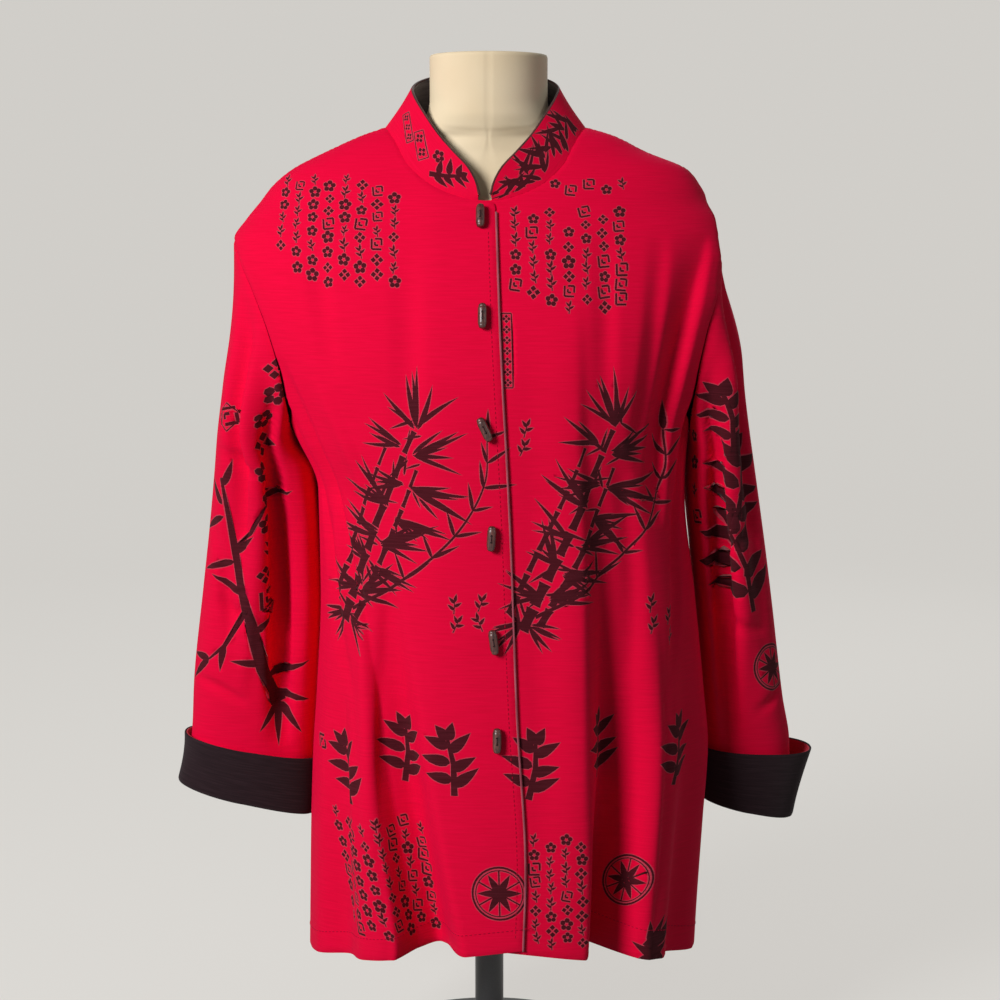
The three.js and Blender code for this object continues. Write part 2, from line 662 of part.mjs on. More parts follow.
function collarSurface(depth) {
  return (place, rise) => {
    const middle = new THREE.Vector3(NECK_CENTRE_X, 0, collarPoint(place, rise).z - 10);
    const normal = surfaceNormal(collarPoint, place, rise, 0.1, 0.05, middle);
    return { point: collarPoint(place, rise).addScaledVector(normal, -depth), normal };
  };
}

function collarLayer(depth, thick, rises) {
  return clothWall(collarSurface(depth), rises, range(seamPoints.length, (i) => i), thick);
}

// The cord along the collar's upper edge and down its two rounded ends.
function collarPiping() {
  const surface = collarSurface((COLLAR_THICK + SEAM_GAP + LINING_THICK) / 2);
  const path = range(seamPoints.length, (i) => {
    const { point, normal } = surface(i, 1);
    const along = surface(i + 0.1, 1).point.sub(surface(i - 0.1, 1).point);
    const out = along.cross(normal).normalize();
    const up = point.clone().sub(surface(i, 0.5).point);
    return point.addScaledVector(out, Math.sign(out.dot(up)) * (PIPING_RADIUS + 1.5 * SEAM_GAP));
  });
  return cordSolid(path, PIPING_RADIUS, 6);
}

// The cord sewn along the upper front's edge, from the throat to the hem.
function frontPiping() {
  const path = innerEdge('right').slice(0, SIDE_ROWS + ARMHOLE_ROWS + 1).map(({ angle, z }) => {
    const { point, normal } = bodySurface(angle, z, true);
    const out = new THREE.Vector3(0, 0, 1).cross(normal).normalize();
    return point.addScaledVector(normal, -CLOTH / 2).addScaledVector(out, PIPING_RADIUS + SEAM_GAP);
  });
  return cordSolid(path, PIPING_RADIUS, 6);
}

// ---------- toggles ----------
// A profile of [radius, height] turned round the Z axis.
function turned(profile, sides) {
  const points = profile.map(([x, y]) => new THREE.Vector2(x, y));
  return new THREE.LatheGeometry(points, sides).rotateX(Math.PI / 2);
}

function toggleBarrel() {
  const { length, radius, endRadius, dome } = TOGGLE;
  const half = length / 2;
  const profile = [
    [0, -half],
    [endRadius * 0.75, -half + dome * 0.4],
    [endRadius, -half + dome * 1.6],
    [radius, -half + 4.5],
    [radius, half - 4.5],
    [endRadius, half - dome * 1.6],
    [endRadius * 0.75, half - dome * 0.4],
    [0, half],
  ];
  return turned(profile, 10);
}

function placeToggle(mesh, { x, z, turn }) {
  const { point, normal } = bodySurface(angleAtX(x, z), z, true);
  const sink = new THREE.Quaternion().setFromUnitVectors(new THREE.Vector3(0, -1, 0), normal);
  const spin = new THREE.Quaternion().setFromAxisAngle(new THREE.Vector3(0, 1, 0), radians(-turn));
  mesh.quaternion.copy(sink.multiply(spin));
  mesh.position.copy(point.addScaledVector(normal, TOGGLE.radius + SEAM_GAP));
}

// ---------- dress form and stand ----------
const FORM_COLUMNS = 24;

function formSolid() {
  const rings = FORM_RINGS.map((row) => range(FORM_COLUMNS, (k) => {
    const angle = k * 2 * Math.PI / FORM_COLUMNS;
    const [sine, cosine] = [Math.sin(angle), Math.cos(angle)];
    const deep = cosine > 0 ? row.front : row.back;
    const power = 2 / row.square;
    return new THREE.Vector3(
      row.half * signedPower(sine, power),
      BODY_Y - deep * signedPower(cosine, power),
      row.z,
    );
  }));
  return ringSolid(rings);
}

function standPole() {
  const foot = BASE.thick + BASE.hubHeight + SEAM_GAP;
  const head = FORM_BOTTOM_Z - SEAM_GAP;
  return new THREE.CylinderGeometry(POLE_RADIUS, POLE_RADIUS, head - foot, 16)
    .rotateX(Math.PI / 2)
    .translate(0, 0, (head + foot) / 2);
}

function standBase() {
  const { radius, thick, shoulder } = BASE;
  return turned([[0, 0], [radius, 0], [radius, thick * 0.55], [radius - shoulder, thick], [0, thick]], 32);
}

function standHub() {
  const { thick, hubRadius, hubHeight } = BASE;
  const foot = thick + SEAM_GAP;
  const top = thick + hubHeight;
  return turned([[0, foot], [hubRadius, foot], [hubRadius * HUB_TAPER, top], [0, top]], 20);
}

// ---------- the whole ----------
const group = new THREE.Group();

function add(name, geometry, material) {
  const mesh = new THREE.Mesh(geometry, material);
  mesh.name = name;
  group.add(mesh);
  return mesh;
}

add('front_right', frontPanel('right'), redCloth);
add('front_left', frontPanel('left'), redCloth);
add('back_right', backPanel('right'), redCloth);
add('back_left', backPanel('left'), redCloth);

const TURNUP_LAYER = SEAM_GAP + TURNUP_THICK;
const CUFF_LAYER = TURNUP_LAYER + SEAM_GAP + CLOTH;
for (const side of ['right', 'left']) {
  add(`sleeve_${side}`, sleeve(side), redCloth);
  add(`turnup_${side}`, cuffLayer(side, TURNUP_LAYER, TURNUP_THICK, 2), redCloth);
  add(`cuff_${side}`, cuffLayer(side, CUFF_LAYER, CLOTH, 2), blackCloth);
}

add('collar', collarLayer(0, COLLAR_THICK, COLLAR_RISES), redCloth);
add('collar_lining', collarLayer(COLLAR_THICK + SEAM_GAP, LINING_THICK, LINING_RISES), liningCloth);
add('piping_collar', collarPiping(), pipingCloth);
add('piping_front', frontPiping(), pipingCloth);

TOGGLES.forEach((row, i) => placeToggle(add(`toggle_${i + 1}`, toggleBarrel(), toggleWood), row));

add('form_body', formSolid(), formLinen);
add('form_pole', standPole(), standMetal);
add('form_hub', standHub(), standMetal);
add('form_base', standBase(), standMetal);

export default group;
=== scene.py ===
"""A crimson stand-collar tunic jacket, buttoned up on a limbless dress form with a short stand.

Sizes are in millimetres and turn to metres where a mesh is made. +X is the wearer's left, -Y the front.
"""
import math
import random

import bmesh
import bpy
import numpy as np
from mathutils import Euler, Matrix, Vector
from mathutils.geometry import delaunay_2d_cdt
from mathutils.kdtree import KDTree


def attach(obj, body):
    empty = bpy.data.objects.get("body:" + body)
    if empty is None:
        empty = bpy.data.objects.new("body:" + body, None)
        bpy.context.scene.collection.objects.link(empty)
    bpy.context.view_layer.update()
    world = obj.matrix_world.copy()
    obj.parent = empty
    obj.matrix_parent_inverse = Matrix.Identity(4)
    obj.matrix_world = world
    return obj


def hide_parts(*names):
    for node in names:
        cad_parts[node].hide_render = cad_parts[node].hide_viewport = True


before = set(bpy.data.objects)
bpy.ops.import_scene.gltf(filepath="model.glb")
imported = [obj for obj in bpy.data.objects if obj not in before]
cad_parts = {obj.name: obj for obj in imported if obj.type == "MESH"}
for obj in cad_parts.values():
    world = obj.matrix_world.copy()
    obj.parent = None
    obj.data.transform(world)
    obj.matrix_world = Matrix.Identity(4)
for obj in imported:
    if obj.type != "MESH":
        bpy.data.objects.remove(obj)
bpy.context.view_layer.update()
MM = 0.001

# ---------- the camera ----------
# A 71 mm lens stands nearly two metres off and looks eight degrees down at the waist.
LOOK_AT = Vector((10.6, 0, 573)) * MM
CAMERA_DISTANCE = 1.9
CAMERA_ELEVATION = math.radians(8)

lens = bpy.data.cameras.new("camera")
lens.sensor_width = 36
lens.lens = 71.25
camera = bpy.data.objects.new("camera", lens)
camera.location = LOOK_AT + CAMERA_DISTANCE * Vector((0, -math.cos(CAMERA_ELEVATION), math.sin(CAMERA_ELEVATION)))
camera.rotation_euler = Euler((math.pi / 2 - CAMERA_ELEVATION, 0, 0))
bpy.context.collection.objects.link(camera)
bpy.context.scene.camera = camera

# ---------- the jacket's body: two fronts and two back halves ----------
# Plain-woven cotton and linen, dyed crimson and printed with dark ink. Each is cut flat and sewn to the others at
# the shoulders, the sides and the centre back, and hangs in flutes from the bust and the shoulder blades.
HEM_Z = 178
SIDE_HEM_Z = 132
ARMPIT_Z = 640
NECK_Z = 926
THROAT_Z = 857
BODY_Y = 2
CLOTH = 1.2
OVERLAP = 38
LAP_LIFT = 3
LAP_STEP = (-85, -42)       # where across the right front it begins to rise, and where it has risen
ARMHOLE_HALF_ANGLE = 28
SHOULDER_END_Z = {"right": 822, "left": 862}
SIDE_SIGN = {"right": -1, "left": 1}


def table(columns, *rows):
    return np.array(list(rows), dtype=[(name, float) for name in columns.split()])


BODY_RINGS = table(
    "z right left centre front back square",
    (132, -177, 202, 15, 152, 143, 2.2),
    (178, -176, 204, 14, 150, 140, 2.2),
    (264, -174, 209, 12, 145, 131, 2.2),
    (335, -171, 213, 10, 140, 124, 2.2),
    (391, -167, 208, 9, 136, 118, 2.2),
    (486, -162, 198, 7, 132, 110, 2.25),
    (586, -163, 187, 4, 130, 107, 2.3),
    (640, -185, 190, 1, 131, 110, 2.3),
    (690, -207, 207, 0, 130, 112, 2.3),
    (735, -226, 224, -1, 124, 112, 2.25),
    (775, -238, 236, -2, 113, 108, 2.2),
    (800, -242, 236, -2, 104, 103, 2.15),
    (822, -240, 229, -3, 95, 98, 2.1),
    (840, -228, 221, -3, 85, 93, 2.05),
    (857, -214, 207, -3, 76, 88, 2),
    (871, -203, 199, -3, 67, 83, 2),
    (886, -185, 187, -3, 56, 78, 2),
    (903, -152, 147, -3, 44, 72, 2),
    (917, -121, 119, -3, 30, 65, 2),
    (926, -96, 90, -3, 16, 58, 2),
)
BODY_FLUTES = table(
    "at before after depth top lean",
    (-26.5, 3.5, 9, 32, 600, -24),
    (-19, 9, 10.5, 47, 600, -22),
    (28, 7, 17, 58, 640, 3),
    (-55, 15, 14, 15, 560, 4),
    (62, 12, 16, 16, 600, 2),
    (103, 13, 12, 20, 520, -3),
    (139, 16, 11, 40, 650, 4),
    (176, 13, 15, 34, 590, -2),
    (214, 11, 17, 44, 670, -5),
    (250, 13, 13, 22, 540, 3),
)
FRONT_EDGE = table("z x", (178, 31), (250, 33), (397, 25), (561, 19), (738, 10), (857, 6))
NECKLINE = table("out z", (0, 857), (14, 858.5), (28, 862), (52, 873), (70, 890), (82, 911), (92.5, 926))
NECK_CENTRE_X = -3


def through(rows, column, place, knots="z"):
    """A smooth curve through one column of a table, without overshoot."""
    at, values = rows[knots], rows[column]
    step = np.diff(at)
    slope = np.diff(values) / step
    below, above = slope[:-1], slope[1:]
    same = below * above > 0
    bend = np.where(same, 2 * below * above / np.where(same, below + above, 1), 0)
    bend = np.concatenate([slope[:1], bend, slope[-1:]])
    place = np.clip(place, at[0], at[-1])
    i = np.clip(np.searchsorted(at, place, "right") - 1, 0, len(step) - 1)
    t = (place - at[i]) / step[i]
    return ((2 * t**3 - 3 * t**2 + 1) * values[i] + (t**3 - 2 * t**2 + t) * step[i] * bend[i]
            + (3 * t**2 - 2 * t**3) * values[i + 1] + (t**3 - t**2) * step[i] * bend[i + 1])


def signed_power(value, power):
    return np.sign(value) * np.abs(value) ** power


def ease(value, low, high):
    t = np.clip((value - low) / (high - low), 0, 1)
    return t * t * (3 - 2 * t)


def trough(offset, before, after):
    """A trough's cross-section: 1 in the middle, 0 at its two edges."""
    share = np.minimum(np.where(offset < 0, -offset / before, offset / after), 1)
    return np.cos(share * math.pi / 2) ** 2


def flute_depth(angle, z):
    depth = np.zeros_like(angle + z)
    for flute in BODY_FLUTES:
        height = np.clip((z - HEM_Z) / (flute["top"] - HEM_Z), 0, 1)
        middle = flute["at"] + flute["lean"] * height
        offset = (angle - middle + 540) % 360 - 180
        depth += flute["depth"] * (1 - height) ** 1.35 * trough(offset, flute["before"], flute["after"])
    return depth


def body_point(angle, z, lift=0.0):
    """Points of the body's cloth at angles round it, 0 at the centre front, and at heights."""
    angle, z = np.broadcast_arrays(np.asarray(angle, float), np.asarray(z, float))
    right, left, centre, front, back, square = (through(BODY_RINGS, name, z) for name in
                                                ("right", "left", "centre", "front", "back", "square"))
    sine, cosine = np.sin(np.radians(angle)), np.cos(np.radians(angle))
    across = np.where(sine < 0, centre - right, left - centre)
    deep = np.where(cosine > 0, front, back)
    sx, sy = signed_power(sine, 2 / square), -signed_power(cosine, 2 / square)
    out_x, out_y = signed_power(sx, square - 1) / across, signed_power(sy, square - 1) / deep
    move = (lift - flute_depth(angle, z)) / np.hypot(out_x, out_y)
    return np.stack([centre + sx * across + out_x * move, BODY_Y + sy * deep + out_y * move, z], axis=-1)


def angle_at_x(x, z):
    right, left, centre, square = (through(BODY_RINGS, name, z) for name in ("right", "left", "centre", "square"))
    across = np.where(x < centre, centre - right, left - centre)
    share = np.clip((x - centre) / across, -1, 1)
    return np.degrees(np.arcsin(signed_power(share, square / 2)))


def upper_front_point(angle, z):
    """The wearer's right front lies on the left one, from a soft step beside the overlap on."""
    return body_point(angle, z, LAP_LIFT * ease(body_point(angle, z)[..., 0], *LAP_STEP))


class FlatCut:
    """How a worn shell lies flat: u runs round it from a zero turn, v up it, both in millimetres of cloth."""

    def __init__(self, turns, heights, points, zero, rise, sign=1):
        self.turns, self.heights, self.rise, self.sign = turns, heights, rise, sign
        steps = np.linalg.norm(np.diff(points, axis=1), axis=2)
        arc = np.concatenate([np.zeros((len(heights), 1)), np.cumsum(steps, axis=1)], axis=1)
        self.arc = arc - arc[:, [int(np.searchsorted(turns, zero))]]

    def lay(self, turn, z):
        """Where worn points lie on the flat cloth."""
        turn, z = np.broadcast_arrays(np.asarray(turn, float), np.asarray(z, float))
        row = np.interp(z, self.heights, np.arange(len(self.heights)))
        column = np.interp(turn, self.turns, np.arange(len(self.turns)))
        r, c = np.minimum(row.astype(int), len(self.heights) - 2), np.minimum(column.astype(int), len(self.turns) - 2)
        up, on = row - r, column - c
        low = (1 - on) * self.arc[r, c] + on * self.arc[r, c + 1]
        high = (1 - on) * self.arc[r + 1, c] + on * self.arc[r + 1, c + 1]
        return np.stack([self.sign * ((1 - up) * low + up * high), np.interp(z, self.heights, self.rise)], axis=-1)

    def wrap(self, flat):
        """The turns and heights that points of the flat cloth come to."""
        u, z = self.sign * flat[:, 0], np.interp(flat[:, 1], self.rise, self.heights)
        row = np.interp(z, self.heights, np.arange(len(self.heights)))
        r = np.minimum(row.astype(int), len(self.heights) - 2)
        turn = np.zeros(len(u))
        for i in np.unique(r):
            here = r == i
            up = row[here] - i
            turn[here] = ((1 - up) * np.interp(u[here], self.arc[i], self.turns)
                          + up * np.interp(u[here], self.arc[i + 1], self.turns))
        return turn, z


BODY_ANGLES = np.arange(-96, 276.1, 0.5)
BODY_HEIGHTS = np.linspace(SIDE_HEM_Z, NECK_Z, 270)
RING_SIZE = (through(BODY_RINGS, "left", BODY_HEIGHTS) - through(BODY_RINGS, "right", BODY_HEIGHTS)
             + through(BODY_RINGS, "front", BODY_HEIGHTS) + through(BODY_RINGS, "back", BODY_HEIGHTS)) / 4
BODY_RISE = np.concatenate([[0], np.cumsum(np.hypot(np.diff(BODY_HEIGHTS), np.diff(RING_SIZE)))])
WORN_BODY = body_point(BODY_ANGLES[None, :], BODY_HEIGHTS[:, None])
BODY_CUT = FlatCut(BODY_ANGLES, BODY_HEIGHTS, WORN_BODY, 0, BODY_RISE)
BACK_CUT = FlatCut(BODY_ANGLES, BODY_HEIGHTS, WORN_BODY, 180, BODY_RISE)


def flat_at(x, z):
    """The flat place of a point seen from the front."""
    return BODY_CUT.lay(angle_at_x(np.float64(x), np.float64(z)), z)


def inside(outline, points):
    """Which points lie inside a closed outline."""
    within = np.zeros(len(points), bool)
    x, y = points[:, 0], points[:, 1]
    for (ax, ay), (bx, by) in zip(outline, np.roll(outline, -1, axis=0)):
        if ay != by:
            within ^= ((ay > y) != (by > y)) & (x < (bx - ax) * (y - ay) / (by - ay) + ax)
    return within


def distance_to(path, points):
    tree = KDTree(len(path))
    for i, (u, v) in enumerate(path):
        tree.insert((u, v, 0), i)
    tree.balance()
    return np.array([tree.find((u, v, 0))[2] for u, v in points])


def resample(path, spacing, closed=True):
    """The same path with its points at most `spacing` apart."""
    ends = np.roll(path, -1, axis=0) if closed else path[1:]
    made = []
    for start, end in zip(path, ends):
        count = max(1, int(math.ceil(np.hypot(*(end - start)) / spacing)))
        made += [start + (end - start) * i / count for i in range(count)]
    return np.array(made if closed else made + [path[-1]])


RED, INK, ROSE, INSIDE = range(4)


def signed_area(shape):
    u, v = shape[:, 0], shape[:, 1]
    return (np.dot(u, np.roll(v, -1)) - np.dot(v, np.roll(u, -1))) / 2


def anticlockwise(shape):
    """The same closed shape with its points running anticlockwise."""
    return shape if signed_area(shape) > 0 else shape[::-1]


def cut_cloth(outline, spacing, prints):
    """Cuts a flat piece: its outline, a grid of points inside and the printed shapes become one mesh."""
    outline = anticlockwise(outline)
    low, high = outline.min(axis=0), outline.max(axis=0)
    grid = []
    for i, v in enumerate(np.arange(low[1] + spacing / 2, high[1], spacing * 0.87)):
        u = np.arange(low[0] + (0.25 + 0.5 * (i % 2)) * spacing, high[0], spacing)
        grid.append(np.column_stack([u, np.full(len(u), v)]))
    grid = np.concatenate(grid)
    grid = grid[inside(outline, grid)]
    grid = grid[distance_to(outline, grid) > 0.45 * spacing]
    faces, paints, corners = [list(range(len(outline)))], [RED], [outline]
    count = len(outline)
    touching = []
    if prints:
        starts = np.cumsum([0] + [len(shape) for shape, _ in prints[:-1]])
        touching = np.logical_or.reduceat(inside(outline, np.concatenate([shape for shape, _ in prints])), starts)
    for touches, (shape, paint) in zip(touching, prints):
        if touches:
            faces.append(list(range(count, count + len(shape))))
            paints.append(paint)
            corners.append(anticlockwise(shape))
            count += len(shape)
    points = np.concatenate([*corners, grid])
    made = delaunay_2d_cdt([Vector(p) for p in points], [], faces, 0, 1e-3, True)
    flat = np.array([tuple(v) for v in made[0]])
    kept = [i for i, origin in enumerate(made[5]) if 0 in origin]
    triangles = np.array([made[2][i] for i in kept])
    paint = np.array([paints[max(made[5][i])] for i in kept])
    used = np.unique(triangles)
    renumber = np.zeros(len(flat), int)
    renumber[used] = np.arange(len(used))
    return flat[used], renumber[triangles], paint


def unit(vectors):
    """Vectors brought to a length of one."""
    return vectors / np.maximum(np.linalg.norm(vectors, axis=-1, keepdims=True), 1e-12)


def vertex_normals(points, triangles):
    a, b, c = (points[triangles[:, k]] for k in range(3))
    across = np.cross(b - a, c - a)
    normals = np.zeros_like(points)
    for k in range(3):
        np.add.at(normals, triangles[:, k], across)
    return unit(normals)


def creases(flat, cut, rows):
    """Soft folds, each from a turn and height to another, bowed sideways. Left and right are the
    widths of its two slopes as seen going along it, and a depth below nought presses it in."""
    relief = np.zeros(len(flat))
    for row in rows:
        start, end = cut.lay(row["turn0"], row["z0"]), cut.lay(row["turn1"], row["z1"])
        length = np.hypot(*(end - start))
        along = (end - start) / length
        off = flat - start
        t = np.clip(off @ along / length, 0, 1)
        aside = off @ np.array([-along[1], along[0]]) - row["bow"] * np.sin(t * math.pi)
        relief += row["depth"] * np.sin(t * math.pi) ** 0.8 * trough(aside, row["right"], row["left"])
    return relief


ROLL_WIDTH = 3.4        # how far in a cut edge begins to roll, and how deep it goes
ROLL_DEPTH = 1.1


def piece_of(name, mesh, solid=None, slot=None):
    """A mesh as a piece of the still body. It stands for one of the part's solids, or is only sewn on."""
    piece = bpy.data.objects.new(name, mesh)
    bpy.context.collection.objects.link(piece)
    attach(piece, "root")
    if solid:
        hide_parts(solid)
    return piece


def cloth_piece(name, points, faces, threads, finishes, thickness, stands_for, paint=None, weld=False, inside=0):
    """A sheet of cloth of its real thickness. Its threads run by its flat places and its cut rims stay crisp."""
    mesh = bpy.data.meshes.new(name)
    mesh.from_pydata((points * MM).tolist(), [], faces)
    if paint is not None:
        mesh.polygons.foreach_set("material_index", paint)
    for finish in finishes:
        mesh.materials.append(finish)
    mesh.uv_layers.new(name="threads").data.foreach_set("uv", (threads * MM).ravel())
    mesh.shade_smooth()
    work = bmesh.new()
    work.from_mesh(mesh)
    if weld:
        bmesh.ops.remove_doubles(work, verts=work.verts, dist=2e-5)
    for rim in work.edges:
        rim.smooth = not rim.is_boundary
    work.to_mesh(mesh)
    work.free()
    piece = piece_of(name, mesh, *stands_for)
    wall = piece.modifiers.new("thickness", "SOLIDIFY")
    wall.thickness, wall.offset, wall.material_offset = thickness * MM, -1, inside
    return piece


def sew_piece(name, flat, triangles, paint, points, relief, edge, finishes, stands_for, thickness=CLOTH, weld=False):
    """Makes a cut piece as it is worn: pressed by its creases, with its cut edges rolled in."""
    if edge is not None:
        near = np.clip(1 - distance_to(edge, flat) / ROLL_WIDTH, 0, 1)
        relief = relief - ROLL_DEPTH * near**2
    points = points + vertex_normals(points, triangles) * relief[:, None]
    return cloth_piece(name, points, triangles.tolist(), flat[triangles.ravel()], finishes, thickness, stands_for,
                       paint, weld, INSIDE)


# Materials of the body's cloth.
def linear(hex_code):
    """An sRGB hex colour as the linear colour that a shader takes."""
    channels = [int(hex_code[i:i + 2], 16) / 255 for i in (1, 3, 5)]
    return (*(c / 12.92 if c <= 0.04045 else ((c + 0.055) / 1.055) ** 2.4 for c in channels), 1)


def node(tree, kind, inputs=None, **settings):
    """Adds a node with its settings. Each input is joined to another node's output or takes a value."""
    made = tree.nodes.new(kind)
    for name, value in settings.items():
        setattr(made, name, value)
    for socket, source in (inputs or {}).items():
        target = made.inputs[socket]
        if isinstance(source, bpy.types.NodeSocket):
            tree.links.new(source, target)
        else:
            target.default_value = source
    return made


def new_material(name):
    material = bpy.data.materials.new(name)
    material.use_nodes = True
    material.node_tree.nodes.clear()
    return material, material.node_tree


def noise(tree, place, scale, detail):
    return node(tree, "ShaderNodeTexNoise", {"Vector": place, "Scale": scale, "Detail": detail}).outputs["Fac"]


def stretched(tree, place, scale):
    return node(tree, "ShaderNodeMapping", {"Vector": place, "Scale": scale}).outputs["Vector"]


def weave(tree, place, scale, *threads):
    """Warp and weft crossing: each set of threads is a wave across its own way, more or less uneven."""
    waves = [node(tree, "ShaderNodeTexWave", {"Vector": place, "Scale": scale, "Distortion": uneven},
                  bands_direction=way).outputs["Fac"] for way, uneven in threads]
    return node(tree, "ShaderNodeMath", dict(enumerate(waves)), operation="MULTIPLY").outputs["Value"]


def coloured(tree, grey, *stops):
    """Colours over a grey texture, as places and colours from its dark end up."""
    ramp = node(tree, "ShaderNodeValToRGB", {"Fac": grey})
    elements = ramp.color_ramp.elements
    for k, (at, colour) in ((0, stops[0]), (1, stops[-1])):
        elements[k].position, elements[k].color = at, linear(colour)
    for at, colour in stops[1:-1]:
        elements.new(at).color = linear(colour)
    return ramp.outputs["Color"]


def raised(tree, height, strength, distance):
    return node(tree, "ShaderNodeBump",
                {"Height": height, "Strength": strength, "Distance": distance}).outputs["Normal"]


def shaded(material, tree, colour, roughness, sockets):
    """Ends a material with its surface."""
    shader = node(tree, "ShaderNodeBsdfPrincipled", {"Base Color": colour, "Roughness": roughness, **sockets})
    node(tree, "ShaderNodeOutputMaterial", {"Surface": shader.outputs["BSDF"]})
    return material


SLUB_LENGTH = 1000 / 34     # how long a thick stretch of weft thread is, in millimetres
SLUB_SPACING = 1.4          # how far apart they lie
THREAD_SPACING = 0.9        # twice as coarse as the real threads, so that they show


def woven_cotton(name, colour, shade, light, roughness=0.82, sheen=0.12, bloom="#FFFFFF"):
    """Matt plain weave: uneven weft slubs lie across it, and the dye is a little lighter on the thick threads."""
    material, tree = new_material(name)
    uv = node(tree, "ShaderNodeUVMap", uv_map="threads").outputs["UV"]
    slubs = noise(tree, stretched(tree, uv, (1000 / SLUB_LENGTH, 1000 / SLUB_SPACING, 1)), 1.0, 3.0)
    fine = stretched(tree, uv, (1000 / THREAD_SPACING, 1000 / THREAD_SPACING, 1))
    crossing = weave(tree, fine, 0.32, ("X", 0.6), ("Y", 0.8))
    height = node(tree, "ShaderNodeMath", {0: slubs, 1: 0.5, 2: crossing}, operation="MULTIPLY_ADD")
    return shaded(material, tree, coloured(tree, slubs, (0.3, shade), (0.5, colour), (0.72, light)), roughness,
                  {"Specular IOR Level": 0.06, "Sheen Weight": sheen, "Sheen Roughness": 0.55,
                   "Sheen Tint": linear(bloom), "Normal": raised(tree, height.outputs["Value"], 0.07, 0.0004)})


crimson_cotton = woven_cotton("crimson_cotton", "#EA0038", "#E40035", "#F0003C", 0.85, 0.22, "#FF2074")
printed_ink = woven_cotton("dark_ink_on_cotton", "#4C121C", "#430D17", "#561824", 0.9, 0.04)
discharged_rose = woven_cotton("rose_edge_of_the_ink", "#C83A50", "#C03248", "#D04A5E")
cotton_inside = woven_cotton("crimson_cotton_wrong_side", "#C00C34", "#B40A2E", "#CC1C40")
BODY_FINISHES = (crimson_cotton, printed_ink, discharged_rose, cotton_inside)


# The print, drawn flat in millimetres. A shape is a closed run of points.
def turned(points, x, y, turn):
    cosine, sine = math.cos(math.radians(turn)), math.sin(math.radians(turn))
    points = np.asarray(points, float)
    return np.column_stack([x + points[:, 0] * cosine - points[:, 1] * sine,
                            y + points[:, 0] * sine + points[:, 1] * cosine])


LEAF_STEPS = np.array([0, 0.1, 0.25, 0.42, 0.62, 0.82, 1])


def leaf(x, y, length, width, turn, bow=0.0):
    """A long pointed leaf, from its stalk to its tip."""
    half = width / 2 * np.sin(np.pi * LEAF_STEPS**0.62)
    middle = bow * LEAF_STEPS**2 * length
    upper = np.column_stack([LEAF_STEPS * length, middle + half])
    lower = np.column_stack([LEAF_STEPS * length, middle - half])[1:-1][::-1]
    return turned(np.concatenate([upper, lower]), x, y, turn)


def stroke(points, widths):
    """A brush stroke along points, as wide at each as its width."""
    points = np.asarray(points, float)
    along = np.gradient(points, axis=0)
    along /= np.hypot(*along.T)[:, None]
    side = np.column_stack([-along[:, 1], along[:, 0]]) * np.asarray(widths, float)[:, None] / 2
    return np.concatenate([points + side, (points - side)[::-1]])


def disc(x, y, radius, corners=8):
    turns = np.arange(corners) * 2 * math.pi / corners
    return np.column_stack([x + radius * np.cos(turns), y + radius * np.sin(turns)])


def hoop(x, y, radius, width, corners=40):
    """A ring as a run of short quadrangles."""
    turns = np.linspace(0, 2 * math.pi, corners + 1)
    outer = np.column_stack([x + radius * np.cos(turns), y + radius * np.sin(turns)])
    inner = np.column_stack([x + (radius - width) * np.cos(turns), y + (radius - width) * np.sin(turns)])
    return [np.array([outer[i], outer[i + 1], inner[i + 1], inner[i]]) for i in range(corners)]


def widened(shape, by):
    """A shape grown outward by a distance at every point."""
    before, after = np.roll(shape, 1, axis=0), np.roll(shape, -1, axis=0)
    along = after - before
    side = np.column_stack([along[:, 1], -along[:, 0]])
    side /= np.maximum(np.hypot(*side.T), 1e-9)[:, None]
    return shape + side * by * np.sign(signed_area(shape))


HALO = 0.7


def printed(shapes):
    """The print's layers: first the rose edge of each shape, then the ink."""
    return [(widened(shape, HALO), ROSE) for shape in shapes] + [(shape, INK) for shape in shapes]


def blossom(x, y, size, turn):
    """Five round petals round an open middle."""
    made = []
    for k in range(5):
        a = math.radians(turn + 72 * k)
        made.append(disc(x + size * 0.3 * math.cos(a), y + size * 0.3 * math.sin(a), size * 0.19, 7))
    return made


def lozenge(x, y, size, turn):
    """A lattice of four small lozenges."""
    half = size * 0.2
    corner = np.array([(half, 0), (0, half), (-half, 0), (0, -half)])
    return [turned(corner, x + dx * size * 0.27, y + dy * size * 0.27, turn)
            for dx, dy in ((1, 0), (-1, 0), (0, 1), (0, -1))]


def sprig(x, y, size, turn):
    """A stalk with three leaves."""
    stalk = turned(stroke([(-size * 0.5, 0), (0, 0), (size * 0.2, 0)], [0.8, 0.9, 0.5]), x, y, turn)
    made = [stalk]
    for at, side in ((-0.28, 55), (-0.1, -55), (0.08, 48), (0.15, -8)):
        base = turned([(size * at, 0)], x, y, turn)[0]
        made.append(leaf(*base, size * 0.45, size * 0.17, turn + side))
    return made


def hook_fret(x, y, size, turn):
    """Three bars of a key fret."""
    bar = size * 0.14
    paths = ([(-0.4, -0.35), (-0.4, 0.4), (0.4, 0.4)], [(0.4, 0.15), (0.4, -0.35), (-0.1, -0.35)],
             [(-0.1, -0.1), (-0.1, 0.15), (0.15, 0.15)])
    made = []
    for path in paths:
        for start, end in zip(path, path[1:]):
            line = np.array([start, end]) * size
            made.append(turned(stroke(line, [bar, bar]), x, y, turn))
    return made


SMALL_MOTIFS = (blossom, lozenge, sprig, blossom, sprig, hook_fret)


